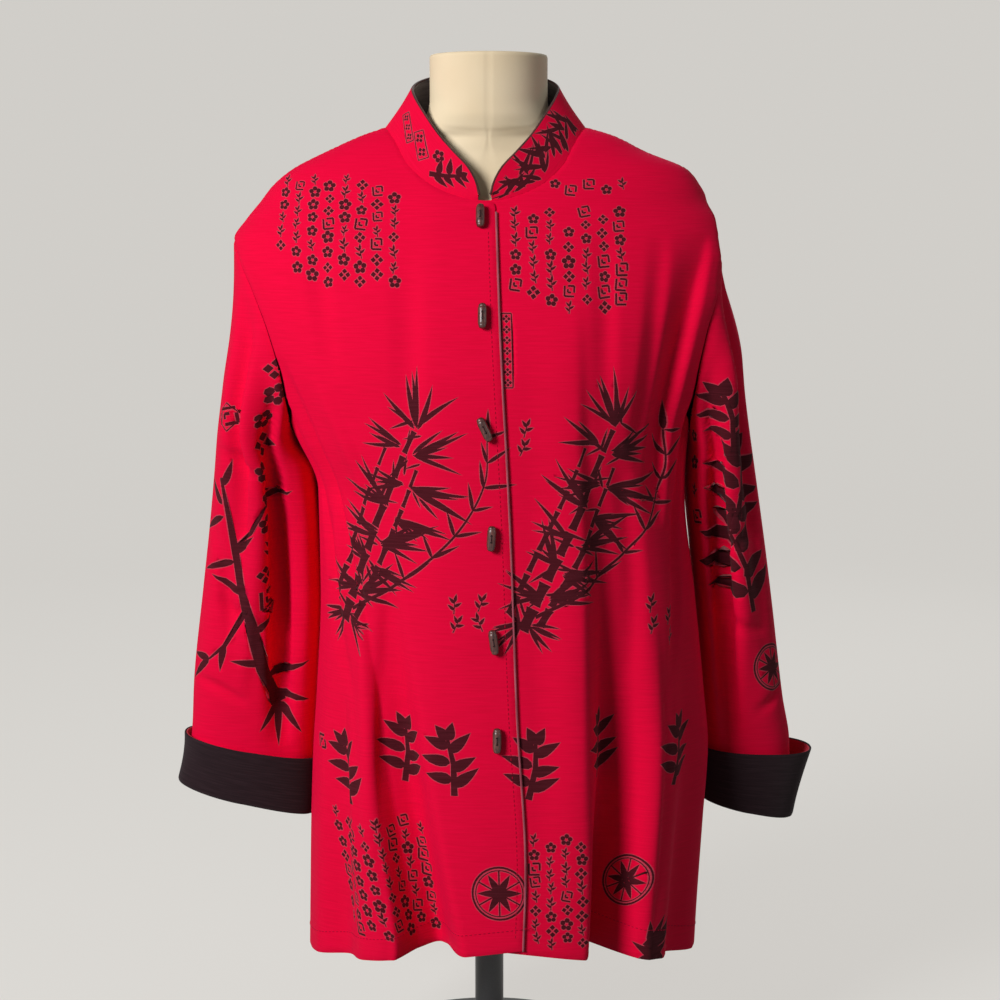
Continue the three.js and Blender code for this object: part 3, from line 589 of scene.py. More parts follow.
def scattered(places, size, draw):
    """Small motifs at places, each a little turned and off its line."""
    shapes = []
    for x, y in places:
        motif = SMALL_MOTIFS[draw.randrange(len(SMALL_MOTIFS))]
        here = size * draw.uniform(0.85, 1.1)
        shapes += motif(x + draw.uniform(-0.8, 0.8), y + draw.uniform(-0.8, 0.8), here, draw.uniform(-12, 12) + 90)
    return shapes


def half_drop(corner, columns, rows, pitch_u, pitch_v, missing=()):
    """Places in columns, each second one dropped by half a step."""
    u, v = corner
    return [(u + c * pitch_u, v - (r + 0.5 * (c % 2)) * pitch_v)
            for c in range(columns) for r in range(rows) if (c, r) not in missing]


def lengths(path):
    """How far along a path each of its points lies."""
    return np.concatenate([[0], np.cumsum(np.linalg.norm(np.diff(path, axis=0), axis=1))])


def between(path, along, at):
    """Places on a path whose points lie at `along`."""
    return np.column_stack([np.interp(at, along, path[:, k]) for k in range(path.shape[1])])


def evenly(path, count):
    along = lengths(path)
    return between(path, along, np.linspace(0, along[-1], count))


def smooth_points(corners, count):
    """A centripetal curve through corners, with `count` points evenly spaced along it."""
    corners = np.asarray(corners, float)
    ends = np.concatenate([[2 * corners[0] - corners[1]], corners, [2 * corners[-1] - corners[-2]]])
    made = []
    for i in range(1, len(ends) - 2):
        p0, p1, p2, p3 = ends[i - 1:i + 3]
        d0, d1, d2 = (math.sqrt(np.linalg.norm(b - a)) for a, b in ((p0, p1), (p1, p2), (p2, p3)))
        start = ((p1 - p0) / d0 - (p2 - p0) / (d0 + d1) + (p2 - p1) / d1) * d1
        end = ((p2 - p1) / d1 - (p3 - p1) / (d1 + d2) + (p3 - p2) / d2) * d1
        t = np.linspace(0, 1, 24, endpoint=False)[:, None]
        made.append(p1 * (2 * t**3 - 3 * t**2 + 1) + start * (t**3 - 2 * t**2 + t)
                    + p2 * (3 * t**2 - 2 * t**3) + end * (t**3 - t**2))
    return evenly(np.concatenate([*made, corners[-1:]]), count)


SPRAY_CULMS = (
    ((-0.36, -0.58), (-0.1, -0.06), (0.1, 0.34), 12.0),
    ((-0.28, -0.56), (-0.05, -0.16), (0.1, 0.16), 8.0),
    ((-0.42, -0.5), (-0.18, -0.02), (-0.04, 0.26), 7.0),
)
SPRAY_TUFTS = (
    (0.1, 0.34, 96, 110, 7, 0.26), (0.02, 0.26, 158, 60, 4, 0.2), (0.09, 0.22, 12, 60, 6, 0.26),
    (0.02, 0.08, 172, 50, 5, 0.2), (0.06, 0.06, -14, 46, 6, 0.32), (-0.06, -0.02, 140, 60, 6, 0.24),
    (-0.02, -0.08, -24, 40, 5, 0.26), (-0.14, -0.16, 150, 60, 5, 0.22), (-0.1, -0.2, 4, 50, 6, 0.3),
    (-0.2, -0.28, 128, 70, 6, 0.2), (-0.17, -0.32, -20, 50, 5, 0.24), (-0.28, -0.42, 160, 60, 5, 0.2),
    (-0.24, -0.44, 14, 50, 6, 0.26), (-0.36, -0.54, 206, 80, 6, 0.18), (-0.32, -0.56, 320, 80, 5, 0.18),
)
SPRAY_SHOOT = ((-0.3, -0.52), (0.0, -0.36), (0.26, -0.14), (0.4, 0.1), (0.42, 0.3))


def bamboo_spray(x, y, size, draw):
    """A spray of bamboo: bent jointed culms, one long arched shoot, and tufts of thin pointed leaves."""
    shoot = smooth_points(np.array(SPRAY_SHOOT) * size + (x, y), 41)
    thick = np.linspace(3.4, 0.9, 41)
    shapes = [stroke(shoot[k:k + 6], thick[k:k + 6]) for k in range(0, 36, 5)]
    for k in (12, 18, 23, 28, 32, 36, 40):
        for side in (-1, 1):
            long = size * draw.uniform(0.09, 0.17)
            shapes.append(leaf(*shoot[k], long, 1.6 + long * 0.07, 62 + side * draw.uniform(24, 66)))
    for base, middle, tip, width in SPRAY_CULMS:
        path = smooth_points(np.array([base, middle, tip]) * size + (x, y), 57)
        for joint in range(8):
            run = path[joint * 7:joint * 7 + 7]
            wide = width * (1 - 0.08 * joint)
            shapes.append(stroke(run, wide * np.array([1, 0.82, 0.78, 0.76, 0.78, 0.84, 1.05])))
    for at_x, at_y, toward, spread, count, length in SPRAY_TUFTS:
        for k in range(count):
            long = size * length * draw.uniform(0.55, 1.1)
            turn = toward + spread * ((k + 0.5) / count - 0.5) + draw.uniform(-7, 7)
            shapes.append(leaf(x + at_x * size + draw.uniform(-2, 2), y + at_y * size + draw.uniform(-2, 2), long,
                               1.6 + long * draw.uniform(0.05, 0.08), turn, draw.uniform(-0.14, 0.14)))
        for _ in range(2):
            long = size * draw.uniform(0.08, 0.14)
            shapes.append(leaf(x + at_x * size + draw.uniform(-9, 9), y + at_y * size + draw.uniform(-9, 9), long,
                               long * 0.12, draw.uniform(0, 360)))
    return shapes


def leaf_band(x, y, size, turn):
    """A short upright branch with paired broad leaves, in the band above the hem."""
    stem = turned(stroke([(0, -0.5 * size), (0.05 * size, 0), (0, 0.42 * size)], [6.0, 5.0, 3.0]), x, y, turn)
    shapes = [stem]
    for at, side, long in ((-0.34, 24, 0.5), (-0.26, 158, 0.46), (-0.08, 16, 0.44), (0.02, 160, 0.52),
                           (0.2, 30, 0.46), (0.26, 146, 0.42), (0.38, 62, 0.3), (0.38, 118, 0.3)):
        base = turned([(0, at * size)], x, y, turn)[0]
        shapes.append(leaf(*base, size * long, size * 0.18, turn + side, 0.1))
    return shapes


def lattice_strip(x, y, long, wide, turn):
    """A narrow framed strip of lozenges."""
    frame_line = np.array([(-wide / 2, -long / 2), (wide / 2, -long / 2), (wide / 2, long / 2), (-wide / 2, long / 2),
                           (-wide / 2, -long / 2)])
    shapes = [turned(stroke(pair, [0.9, 0.9]), x, y, turn) for pair in zip(frame_line, frame_line[1:])]
    count = int(long // wide)
    for k in range(count):
        middle = turned([(0, (k + 0.5 - count / 2) * long / count)], x, y, turn)[0]
        shapes += lozenge(*middle, wide * 0.9, turn)
    return shapes


def medallion(x, y, radius):
    """A round lattice medallion: a double ring round a six-pointed star lattice."""
    shapes = hoop(x, y, radius, 1.8) + hoop(x, y, radius - 3.2, 0.9)
    for k in range(6):
        a = math.radians(60 * k + 30)
        tip = (x + (radius - 4) * math.cos(a), y + (radius - 4) * math.sin(a))
        shapes.append(leaf(x, y, radius - 5, radius * 0.26, 60 * k))
        shapes.append(stroke([(x, y), tip], [1.3, 1.3]))
    return shapes


SMALL_MOTIF = 12
SPRIG_SIZE = 17
SPRAY_SIZE = 200
BRANCH_SIZE = 58
MEDALLION_RADIUS = 25
# Blocks of small motifs, from an upper corner: columns, rows, the steps between them and the places left out.
FRONT_BLOCKS = (
    ((-186, 876), 8, 8, 15.5, 13.5, {(0, 6), (0, 7), (1, 7), (7, 0), (6, 0)}),
    ((24, 846), 7, 7, 16, 13.5, {(0, 6), (1, 6), (3, 0)}),
    ((60, 872), 5, 1, 16, 13.5, ()),
    ((-150, 286), 8, 8, 15.5, 13.5, ()),
    ((42, 280), 4, 8, 14, 13, ()),
)


def front_prints():
    """Blocks of small motifs at the shoulders and hem, a bamboo spray on each front, and branches over the hem."""
    draw = random.Random(7)
    shapes = []
    for corner, *block in FRONT_BLOCKS:
        shapes += scattered(half_drop(flat_at(*corner), *block), SMALL_MOTIF, draw)
    for x in (-80, 98):
        shapes += bamboo_spray(*flat_at(x, 588), SPRAY_SIZE, draw)
    for x, z in ((-30, 496), (-28, 478), (-6, 498), (-8, 480), (150, 490), (168, 476), (152, 470), (172, 456),
                 (34, 655), (32, 638)):
        shapes += sprig(*flat_at(x, z), SPRIG_SIZE, draw.uniform(60, 120))
    for x, z, turn in ((-134, 330, 10), (-86, 352, -8), (-34, 350, 6), (40, 346, -8), (108, 356, 8), (178, 346, -4)):
        shapes += leaf_band(*flat_at(x, z), BRANCH_SIZE, turn)
    for x, z in ((10, 232), (138, 229)):
        shapes += medallion(*flat_at(x, z), MEDALLION_RADIUS)
    shapes += lattice_strip(*flat_at(17, 724), 66, 9, 0) + hook_fret(*flat_at(-158, 350), 15, 4)
    for x, z, turn in ((142, 150, 20), (148, 156, 58), (156, 152, 100), (146, 170, 4), (164, 148, 140), (154, 166, 36)):
        shapes.append(leaf(*flat_at(x, z), 42, 12, turn, 0.1))
    return shapes


def back_prints():
    """The same cloth behind: sprays below the shoulder blades, small motifs above, branches over the hem."""
    draw = random.Random(9)
    shapes = []
    for turn, z in ((145, 850), (190, 850), (136, 268), (204, 272)):
        shapes += scattered(half_drop(BACK_CUT.lay(turn, z), 7, 7, 15.5, 13.5), SMALL_MOTIF, draw)
    for turn, z in ((148, 604), (210, 600)):
        shapes += bamboo_spray(*BACK_CUT.lay(turn, z), SPRAY_SIZE, draw)
    for turn, z in ((112, 340), (128, 330), (149, 338), (166, 334), (189, 340), (206, 330), (226, 338), (246, 334)):
        shapes += leaf_band(*BACK_CUT.lay(turn, z), BRANCH_SIZE, draw.uniform(-9, 9))
    for turn, z in ((172, 236), (238, 240)):
        shapes += medallion(*BACK_CUT.lay(turn, z), MEDALLION_RADIUS)
    return shapes


FRONT_PRINTS, BACK_PRINTS = front_prints(), back_prints()

SEAM_ANGLE = 0.01       # degrees that each piece stops short of a side or shoulder seam
CORNER_RADIUS = 6       # of the upper front's top corner
EDGE_POINTS = 260
NECKLINE_PATH = smooth_points(np.column_stack([NECKLINE["out"], NECKLINE["z"]]), 60)


def armhole(side, turn, shrink=0.0):
    """The armhole seam: turn 0 at the armpit, 90 at its front, 180 at the shoulder, 270 at its back."""
    top, bottom = SHOULDER_END_Z[side] - shrink, ARMPIT_Z + shrink
    turn = np.radians(np.asarray(turn, float))
    z = bottom + (top - bottom) * (1 - np.cos(turn)) / 2
    return SIDE_SIGN[side] * (90 - (ARMHOLE_HALF_ANGLE - shrink * 0.25) * np.sin(turn)), z


def front_outline(side):
    """The front's cut, as angles and heights, from the hem at the front edge round to it again."""
    sign = SIDE_SIGN[side]
    z = np.linspace(HEM_Z, THROAT_Z, EDGE_POINTS)
    x = through(FRONT_EDGE, "x", z) - (OVERLAP if side == "left" else 0)
    if side == "right":
        up = np.clip(z - (THROAT_Z - CORNER_RADIUS), 0, CORNER_RADIUS)
        x = x - (CORNER_RADIUS - np.sqrt(CORNER_RADIUS**2 - up**2))
    edge = np.column_stack([angle_at_x(x, z), z])
    neck_x = NECK_CENTRE_X + sign * NECKLINE_PATH[:, 0]
    neck_z = np.minimum(NECKLINE_PATH[:, 1], NECK_Z)
    past = neck_x * sign > x[-1] * sign + 0.5
    neck = np.column_stack([angle_at_x(neck_x, neck_z), neck_z])[past]
    end = SHOULDER_END_Z[side]
    seam = sign * (90 - SEAM_ANGLE)
    shoulder = [(seam, h) for h in np.linspace(NECK_Z, end, 50)[1:-1]]
    turns = np.linspace(180, 0, 90)
    hole = np.column_stack(armhole(side, turns))
    hole[:, 0] = sign * np.minimum(sign * hole[:, 0], 90 - SEAM_ANGLE)
    down = [(seam, h) for h in np.linspace(ARMPIT_Z, SIDE_HEM_Z, 160)[1:]]
    hem = np.linspace((seam, SIDE_HEM_Z), (edge[0, 0], HEM_Z), 150)[1:-1]
    return np.concatenate([edge, neck, shoulder, hole, down, hem])


def back_outline(side):
    """Half of the back, from the neck out to the shoulder, down to the hem and up the centre back seam."""
    seam, centre = 90 + SEAM_ANGLE, 180 - SEAM_ANGLE
    shoulder = [(seam, h) for h in np.linspace(NECK_Z, SHOULDER_END_Z[side], 50)[:-1]]
    angle, z = armhole(side, np.linspace(180, 360, 90))
    hole = np.column_stack([np.maximum(SIDE_SIGN[side] * angle, seam), z])
    down = [(seam, h) for h in np.linspace(ARMPIT_Z, SIDE_HEM_Z, 160)[1:]]
    hem = np.linspace((seam, SIDE_HEM_Z), (centre, SIDE_HEM_Z), 150)[1:]
    up = np.linspace((centre, SIDE_HEM_Z), (centre, NECK_Z), 260)[1:]
    neck = np.linspace((centre, NECK_Z), (seam, NECK_Z), 60)[1:-1]
    made = np.concatenate([shoulder, hole, down, hem, up, neck])
    return made if side == "left" else np.column_stack([360 - made[:, 0], made[:, 1]])


CREASE = "turn0 z0 turn1 z1 left right bow depth"
BODY_CREASES = table(
    CREASE,
    (-60, 716, -44, 470, 9, 18, 5, -7.0),
    (-70, 690, -58, 470, 8, 12, 4, -4.5),
    (-46, 700, -34, 540, 12, 15, 5, 3.0),
    (-16, 812, -20, 640, 18, 22, 3, -2.6),
    (-42, 836, -38, 690, 16, 18, -3, -2.6),
    (-64, 600, -50, 400, 10, 16, -6, -4.0),
    (-52, 420, -44, 210, 12, 12, 4, 4.0),
    (17, 770, 21, 135, 14, 46, 0, 8.0),
    (-34, 560, -37, 135, 12, 34, 0, 5.0),
    (47, 470, 45, 135, 10, 30, 0, 5.0),
    (28, 835, 30, 640, 14, 18, 0, -3.0),
    (43, 826, 42, 600, 12, 17, 3, -4.6),
    (61, 826, 54, 560, 9, 40, -5, -14.0),
    (72, 740, 60, 500, 8, 13, -4, -5.0),
    (66, 600, 52, 400, 12, 15, 5, -4.6),
    (34, 640, 38, 420, 16, 16, 4, -3.4),
    (108, 742, 124, 520, 12, 16, 5, -6.0),
    (128, 836, 140, 650, 14, 18, 4, -4.2),
    (156, 800, 164, 600, 16, 20, -4, -3.6),
    (198, 812, 192, 590, 18, 16, 4, -3.8),
    (226, 830, 216, 640, 14, 16, -4, -4.4),
    (252, 742, 238, 500, 16, 12, -5, -6.0),
    (176, 600, 170, 430, 20, 18, 3, -3.0),
)


def body_cloth(side, half, spacing, shapes, cut):
    """Cuts and hangs one front or back half. The right front lies on top of the left one."""
    outline = front_outline(side) if half == "front" else back_outline(side)
    flat_outline = resample(cut.lay(outline[:, 0], outline[:, 1]), spacing * 0.9)
    flat, triangles, paint = cut_cloth(flat_outline, spacing, printed(shapes))
    worn = upper_front_point if (side, half) == ("right", "front") else body_point
    piece = sew_piece(f"{side}_{half}_cloth", flat, triangles, paint, worn(*cut.wrap(flat)),
                      creases(flat, cut, BODY_CREASES), flat_outline, BODY_FINISHES, (f"{half}_{side}", "red_cloth"))
    return piece


FRONT_SPACING, BACK_SPACING = 3.6, 4.2
FRONTS = {side: body_cloth(side, "front", FRONT_SPACING, FRONT_PRINTS, BODY_CUT) for side in ("right", "left")}
for side in ("right", "left"):
    body_cloth(side, "back", BACK_SPACING, BACK_PRINTS, BACK_CUT)

# ---------- the sleeves ----------
# Each is one piece of the same cloth, set into the armhole and sewn under the arm, and hangs empty in long folds.
SLEEVE_COLUMNS = "z inner outer front back"
SLEEVE_RINGS = {
    "right": table(
        SLEEVE_COLUMNS,
        (255, -177, -318, 0, 62), (335, -172.6, -295, -4, 67), (393, -168.4, -291, -10, 71),
        (486, -163, -279, -22, 73), (545, -162.8, -271, -32, 74), (600, -166.4, -264, -45, 73),
        (640, -184.8, -259, -55, 70), (680, -191, -253, -60, 70), (731, -193, -246, -63, 70),
        (780, -199, -242, -58, 66), (822, -205, -240, -46, 56),
    ),
    "left": table(
        SLEEVE_COLUMNS,
        (250, 212, 300, 4, 70), (328, 213, 298, 0, 72), (374, 209.6, 290, -6, 74), (472, 200.6, 276, -24, 75),
        (519, 195.8, 269, -32, 75), (599, 188.6, 256, -46, 75), (640, 191, 249, -54, 74), (679, 197, 243, -59, 73),
        (717, 198, 239, -62, 72), (768, 198, 233.5, -61, 70), (800, 196, 230, -57, 66), (832, 190, 223, -46, 56),
        (862, 182, 203, -25, 36),
    ),
}
SLEEVE_SQUARE = 2.2
CAP_BLEND = 0.24
SEAM_GAP = 0.4
SLEEVE_TROUGHS = {
    "right": table("at half depth begins ends", (62, 24, 15, 0.06, 0.9), (118, 22, 6, 0.1, 0.7),
                   (232, 26, 12, 0.1, 0.85), (292, 24, 9, 0.25, 0.95)),
    "left": table("at half depth begins ends", (66, 26, 13, 0.08, 0.92), (128, 22, 5, 0.2, 0.75),
                  (240, 26, 13, 0.1, 0.8), (298, 22, 8, 0.3, 0.95)),
}
CUFFS = {
    "right": dict(fold_inner=255, fold_outer=289, top_inner=314, top_outer=339, flare=4, outer_flare=0),
    "left": dict(fold_inner=271, fold_outer=251, top_inner=326, top_outer=321, flare=4, outer_flare=15),
}


def sleeve_section(side, turn, z, offset=0.0):
    """A point of the sleeve's level section: turn 0 next to the body, 90 at the front, 180 outside."""
    inner, outer, front, back = (through(SLEEVE_RINGS[side], name, z) for name in ("inner", "outer", "front", "back"))
    turn = np.radians(turn)
    sx, sy = -signed_power(np.cos(turn), 2 / SLEEVE_SQUARE), -signed_power(np.sin(turn), 2 / SLEEVE_SQUARE)
    half_x, half_y = (outer - inner) / 2, (back - front) / 2
    out_x, out_y = signed_power(sx, SLEEVE_SQUARE - 1) / half_x, signed_power(sy, SLEEVE_SQUARE - 1) / half_y
    move = offset / np.hypot(out_x, out_y)
    x = (inner + outer) / 2 + sx * half_x + out_x * move
    y = (front + back) / 2 + sy * half_y + out_y * move
    return np.stack([x, y, np.broadcast_to(z, x.shape)], axis=-1)


def cuff_height(side, edge, turn):
    """The height of the cuff's fold or top, which slants from the sleeve's inner side to its outer one."""
    inner, outer = CUFFS[side][edge + "_inner"], CUFFS[side][edge + "_outer"]
    return inner + (outer - inner) * (1 - np.cos(np.radians(turn))) / 2


def sleeve_trough(side, turn, share):
    depth = np.zeros_like(turn + share)
    for row in SLEEVE_TROUGHS[side]:
        along = np.clip((share - row["begins"]) / (row["ends"] - row["begins"]), 0, 1)
        offset = (turn - row["at"] + 540) % 360 - 180
        depth += row["depth"] * np.sin(along * math.pi) * trough(offset, row["half"], row["half"])
    return depth


def sleeve_point(side, turn, share):
    """A point of the sleeve: share 0 at the armhole and 1 at the fold of its cuff."""
    turn, share = np.broadcast_arrays(np.asarray(turn, float), np.asarray(share, float))
    angle, start_z = armhole(side, turn, SEAM_GAP)
    start = body_point(angle, start_z)
    z = start_z + (cuff_height(side, "fold", turn) - start_z) * share
    section = sleeve_section(side, turn, z, -sleeve_trough(side, turn, share))
    under_arm = np.clip(np.cos(np.radians(turn)), 0, 1) ** 2
    pull = ease(share, -0.02, CAP_BLEND * (1 - 0.8 * under_arm)) * ease(share, 0, 0.02)
    mixed = start + (section - start) * pull[..., None]
    return np.stack([mixed[..., 0], mixed[..., 1], z], axis=-1)


SLEEVE_LIFT = 1.5       # the sleeve's own cloth stops this far above the fold


def sleeve_level(side, turn, z):
    """A point of the sleeve's cloth at a turn and a height."""
    start_z = armhole(side, turn, SEAM_GAP)[1]
    share = np.clip((start_z - z) / (start_z - cuff_height(side, "fold", turn)), 0, 1)
    return sleeve_point(side, turn, share), share


SLEEVE_TURNS = np.arange(0, 360.1, 2)
SLEEVE_HEIGHTS = np.linspace(245, 863, 310)
SLEEVE_CUT = {
    side: FlatCut(SLEEVE_TURNS, SLEEVE_HEIGHTS, sleeve_section(side, SLEEVE_TURNS[None, :], SLEEVE_HEIGHTS[:, None]),
                  90, SLEEVE_HEIGHTS, SIDE_SIGN[side])
    for side in ("right", "left")
}


def sleeve_outline(side):
    """The sleeve's cut: the cap's curve, the underarm seam's two edges and the end at the cuff."""
    cut, turns = SLEEVE_CUT[side], np.linspace(0, 360, 200)
    fold = cuff_height(side, "fold", turns) + SLEEVE_LIFT
    cap = cut.lay(turns, armhole(side, turns, SEAM_GAP)[1])
    end = cut.lay(turns[::-1], fold[::-1])
    seam = np.linspace(armhole(side, 0, SEAM_GAP)[1], fold[0], 180)[1:-1]
    far = cut.lay(np.full(len(seam), 360.0), seam)
    near = cut.lay(np.zeros(len(seam)), seam[::-1])
    return np.concatenate([cap, far, end, near]), cap


SLEEVE_CREASES = {
    "right": table(
        CREASE,
        (72, 740, 54, 330, 5, 28, 5, -17.0), (118, 846, 104, 500, 7, 16, -3, -9.0), (92, 640, 98, 380, 12, 14, 4, 4.0),
        (146, 630, 60, 566, 8, 13, 5, -4.2), (132, 480, 66, 446, 8, 12, -4, -3.6), (156, 400, 92, 374, 7, 10, 3, -3.4),
        (150, 560, 110, 430, 10, 12, 4, -3.6), (226, 760, 236, 420, 9, 16, 4, -9.0),
        (300, 700, 290, 400, 12, 9, -5, -7.0), (200, 600, 280, 560, 9, 12, 5, -4.0),
        (210, 430, 300, 450, 9, 12, -5, -3.4),
    ),
    "left": table(
        CREASE,
        (66, 730, 58, 330, 24, 6, -5, -15.0), (108, 846, 136, 520, 16, 8, 5, -9.0), (96, 600, 88, 380, 13, 12, 4, 3.6),
        (140, 560, 66, 530, 9, 13, 5, -4.2), (60, 470, 130, 446, 8, 12, -4, -3.6), (156, 390, 98, 364, 8, 10, 3, -3.2),
        (240, 770, 232, 430, 15, 9, -4, -9.0), (296, 690, 304, 400, 9, 13, 5, -7.0),
        (210, 590, 286, 556, 9, 12, -5, -4.0), (200, 440, 290, 456, 9, 12, 5, -3.4),
    ),
}


def sleeve_prints(side):
    draw = random.Random({"right": 21, "left": 22}[side])
    if side == "right":
        shapes = scattered([(8 + 5 * (k % 2), 704 - 25 * k) for k in range(10)], 22, draw)
        shapes += [stroke([(-44, 598), (-28, 530), (-10, 470), (10, 410), (30, 372)], [4, 7, 10, 13, 14]),
                   stroke([(-28, 530), (-8, 546), (6, 572)], [4.5, 3.6, 1.8]),
                   stroke([(-10, 470), (-30, 432), (-46, 418)], [6, 4.5, 2])]
        for at_u, at_v, turn in ((-42, 590, 60), (-42, 572, 130), (-40, 560, 200), (-28, 524, 35), (-26, 516, 190),
                                 (-14, 484, 150), (6, 572, 70), (6, 572, 20), (-2, 446, 30), (10, 414, 170),
                                 (16, 400, 15), (-46, 418, 220), (-46, 418, 170), (-30, 434, 260), (30, 374, -60),
                                 (30, 374, -95), (30, 374, -130), (26, 384, -20)):
            shapes.append(leaf(at_u, at_v, draw.uniform(26, 44), 7.5, turn, 0.08))
        shapes += lattice_strip(38, 690, 74, 13, 14)
        shapes += hook_fret(-30, 657, 20, 8) + hoop(-30, 657, 14, 1.2, 4)
        return shapes
    shapes = leaf_band(4, 655, 60, 8) + leaf_band(12, 590, 84, -14) + leaf_band(6, 512, 90, 12)
    shapes += medallion(34, 409, 24)
    shapes += scattered([(-38, 690 - 26 * k) for k in range(6)], 14, draw)
    return shapes


SLEEVE_SPACING = 3.8

for side in ("right", "left"):
    outline, cap = sleeve_outline(side)
    cut = resample(outline, SLEEVE_SPACING * 0.9)
    flat, triangles, paint = cut_cloth(cut, SLEEVE_SPACING, printed(sleeve_prints(side)))
    points, share = sleeve_level(side, *SLEEVE_CUT[side].wrap(flat))
    relief = creases(flat, SLEEVE_CUT[side], SLEEVE_CREASES[side]) * ease(share, 0.01, 0.1)
    sleeve = sew_piece(f"sleeve_{side}_cloth", flat, triangles, paint, points, relief, resample(cap, 3, False),
                       BODY_FINISHES, (f"sleeve_{side}", "red_cloth"), weld=True)

# ---------- the turned-back cuffs ----------
# The sleeve's end is faced with black cotton and folded back outside, so that the facing shows. Its red side
# is seen only where the cuff stands off.
black_cotton = woven_cotton("black_cotton", "#2A1B20", "#23171B", "#322328", 0.85, 0.08)


def round_sheet(name, rings, finish, thickness, stands_for):
    """A tube of cloth from rings of points, the first ring lowest in the fold."""
    rings = np.array(rings)
    rows, count = rings.shape[:2]
    step = np.linalg.norm(np.diff(rings, axis=1, append=rings[:, :1]), axis=2)
    around = np.concatenate([np.zeros((rows, 1)), np.cumsum(step, axis=1)], axis=1)
    up = lengths(rings[:, 0])
    quads, threads = [], []
    for r in range(rows - 1):
        for c in range(count):
            n = (c + 1) % count
            quads.append((r * count + c, r * count + n, (r + 1) * count + n, (r + 1) * count + c))
            threads += [(around[r, c], up[r]), (around[r, c + 1], up[r]),
                        (around[r + 1, c + 1], up[r + 1]), (around[r + 1, c], up[r + 1])]
    return cloth_piece(name, rings.reshape(-1, 3), quads, np.array(threads), [finish], thickness, stands_for)


CUFF_TURNS = 160
TURNUP_THICK = 0.9
TURNUP_LAYER = 1.4      # how far the facing's two sides lie off the sleeve
CUFF_LAYER = 3.3
CUFF_FOLD = ((0.3, -3.4), (0.2, -3.4), (0.12, -3.3), (0.05, -2.9), (0.012, -1.6), (0.0, 0.3), (0.012, 2.2), (0.05, 3.1))
CUFF_SIDE = (*((share, CUFF_LAYER) for share in np.linspace(0.1, 0.97, 18)), (0.99, CUFF_LAYER - 0.2),
             (1.0, CUFF_LAYER - 0.9))


def cuff_ring(side, share, offset):
    """A ring of the cuff at a share of its height, off the sleeve's surface by an offset plus its flare."""
    cuff = CUFFS[side]
    turn = np.arange(CUFF_TURNS) * 360 / CUFF_TURNS
    fold, top = cuff_height(side, "fold", turn), cuff_height(side, "top", turn)
    outward = np.maximum(0, -np.cos(np.radians(turn))) ** 3
    flare = (cuff["flare"] + cuff["outer_flare"] * outward) * max(share, 0) ** 1.3
    ring = sleeve_section(side, turn, fold + (top - fold) * share, offset + flare)
    return ring if side == "left" else ring[::-1]


for side in ("right", "left"):
    turnup = round_sheet(f"turnup_{side}_cloth",
                         [cuff_ring(side, share, TURNUP_LAYER) for share in np.linspace(0.04, 0.985, 16)],
                         cotton_inside, TURNUP_THICK, (f"turnup_{side}", "red_cloth"))
    cuff = round_sheet(f"cuff_{side}_cloth", [cuff_ring(side, *place) for place in CUFF_FOLD + CUFF_SIDE],
                       black_cotton, CLOTH, (f"cuff_{side}", "black_cloth"))
    cut_round = float(np.linalg.norm(np.diff(cuff_ring(side, 0.5, CUFF_LAYER), axis=0), axis=1).sum()) * MM

# ---------- the collar ----------
# A stand collar of the printed cloth with a dark lining, its two front ends rounded down to the throat.
COLLAR_TOP = table(
    "out y z",
    (0, 63, 977), (34, 56, 976), (58, 36, 971), (69, 10, 963), (67, -12, 953), (57, -31, 936),
    (43, -47, 916), (29, -60, 900), (16, -68, 886), (9, -72.5, 873), (6.5, -75, 862),
)
COLLAR_END_OUT = 5.5
COLLAR_THICK = 1.6
LINING_THICK = 1


def collar_seam_path():
    """The seam's dense points from the right front end round the back to the left one."""
    spots = NECKLINE_PATH[NECKLINE_PATH[:, 0] >= COLLAR_END_OUT]

    def front(sign):
        x, z = NECK_CENTRE_X + sign * spots[:, 0], np.minimum(spots[:, 1], NECK_Z)
        return body_point(angle_at_x(x, z), z)
    back = body_point(np.linspace(270, 90, 120)[1:-1], np.full(118, float(NECK_Z)))
    return np.concatenate([front(-1), back, front(1)[::-1]])


SEAM_PATH = collar_seam_path()
COLLAR_SEAM, SEAM_LENGTH = evenly(SEAM_PATH, 600), lengths(SEAM_PATH)[-1]
top_corners = np.column_stack([COLLAR_TOP["out"], COLLAR_TOP["y"], COLLAR_TOP["z"]])
top_corners = np.concatenate([top_corners[::-1] * (-1, 1, 1), top_corners[1:]]) + (NECK_CENTRE_X, 0, 0)
COLLAR_EDGE = smooth_points(top_corners, 600)
COLLAR_HEIGHT = 50
SEAM_COVER = 1.2        # how far the collar reaches down over the neckline's rolled edge


def collar_point(share, rise):
    """A point of the collar: share along its seam, rise 0 at the seam and 1 at the upper edge."""
    at = np.clip(share, 0, 1) * (len(COLLAR_SEAM) - 1)
    low, high = (between(path, np.arange(len(path)), at) for path in (COLLAR_SEAM, COLLAR_EDGE))
    up = high - low
    length = np.linalg.norm(up, axis=1)
    return low + up * ((rise * (length + SEAM_COVER) - SEAM_COVER) / length)[:, None]


def collar_prints():
    draw = random.Random(31)
    shapes = []
    for k in range(40):
        shapes.append(leaf(8 + 3.1 * k + draw.uniform(-3, 3), draw.uniform(2, 28), draw.uniform(24, 42),
                           draw.uniform(3.2, 6.2), draw.uniform(15, 165), draw.uniform(-0.15, 0.15)))
    far = SEAM_LENGTH
    return (shapes + leaf_band(far - 40, 24, 40, -50) + lattice_strip(far - 84, 26, 30, 13, 62)
            + lattice_strip(far - 112, 24, 34, 10, 66) + blossom(far - 60, 34, 15, 10))


# The collar's lining is black cotton like the cuffs, its colour painted mid grey as the light that falls on it inside
# the collar.
collar_lining_painted_light = woven_cotton("black_collar_lining_painted_light", "#78727A", "#6C666E", "#847E86", 0.85, 0.2)
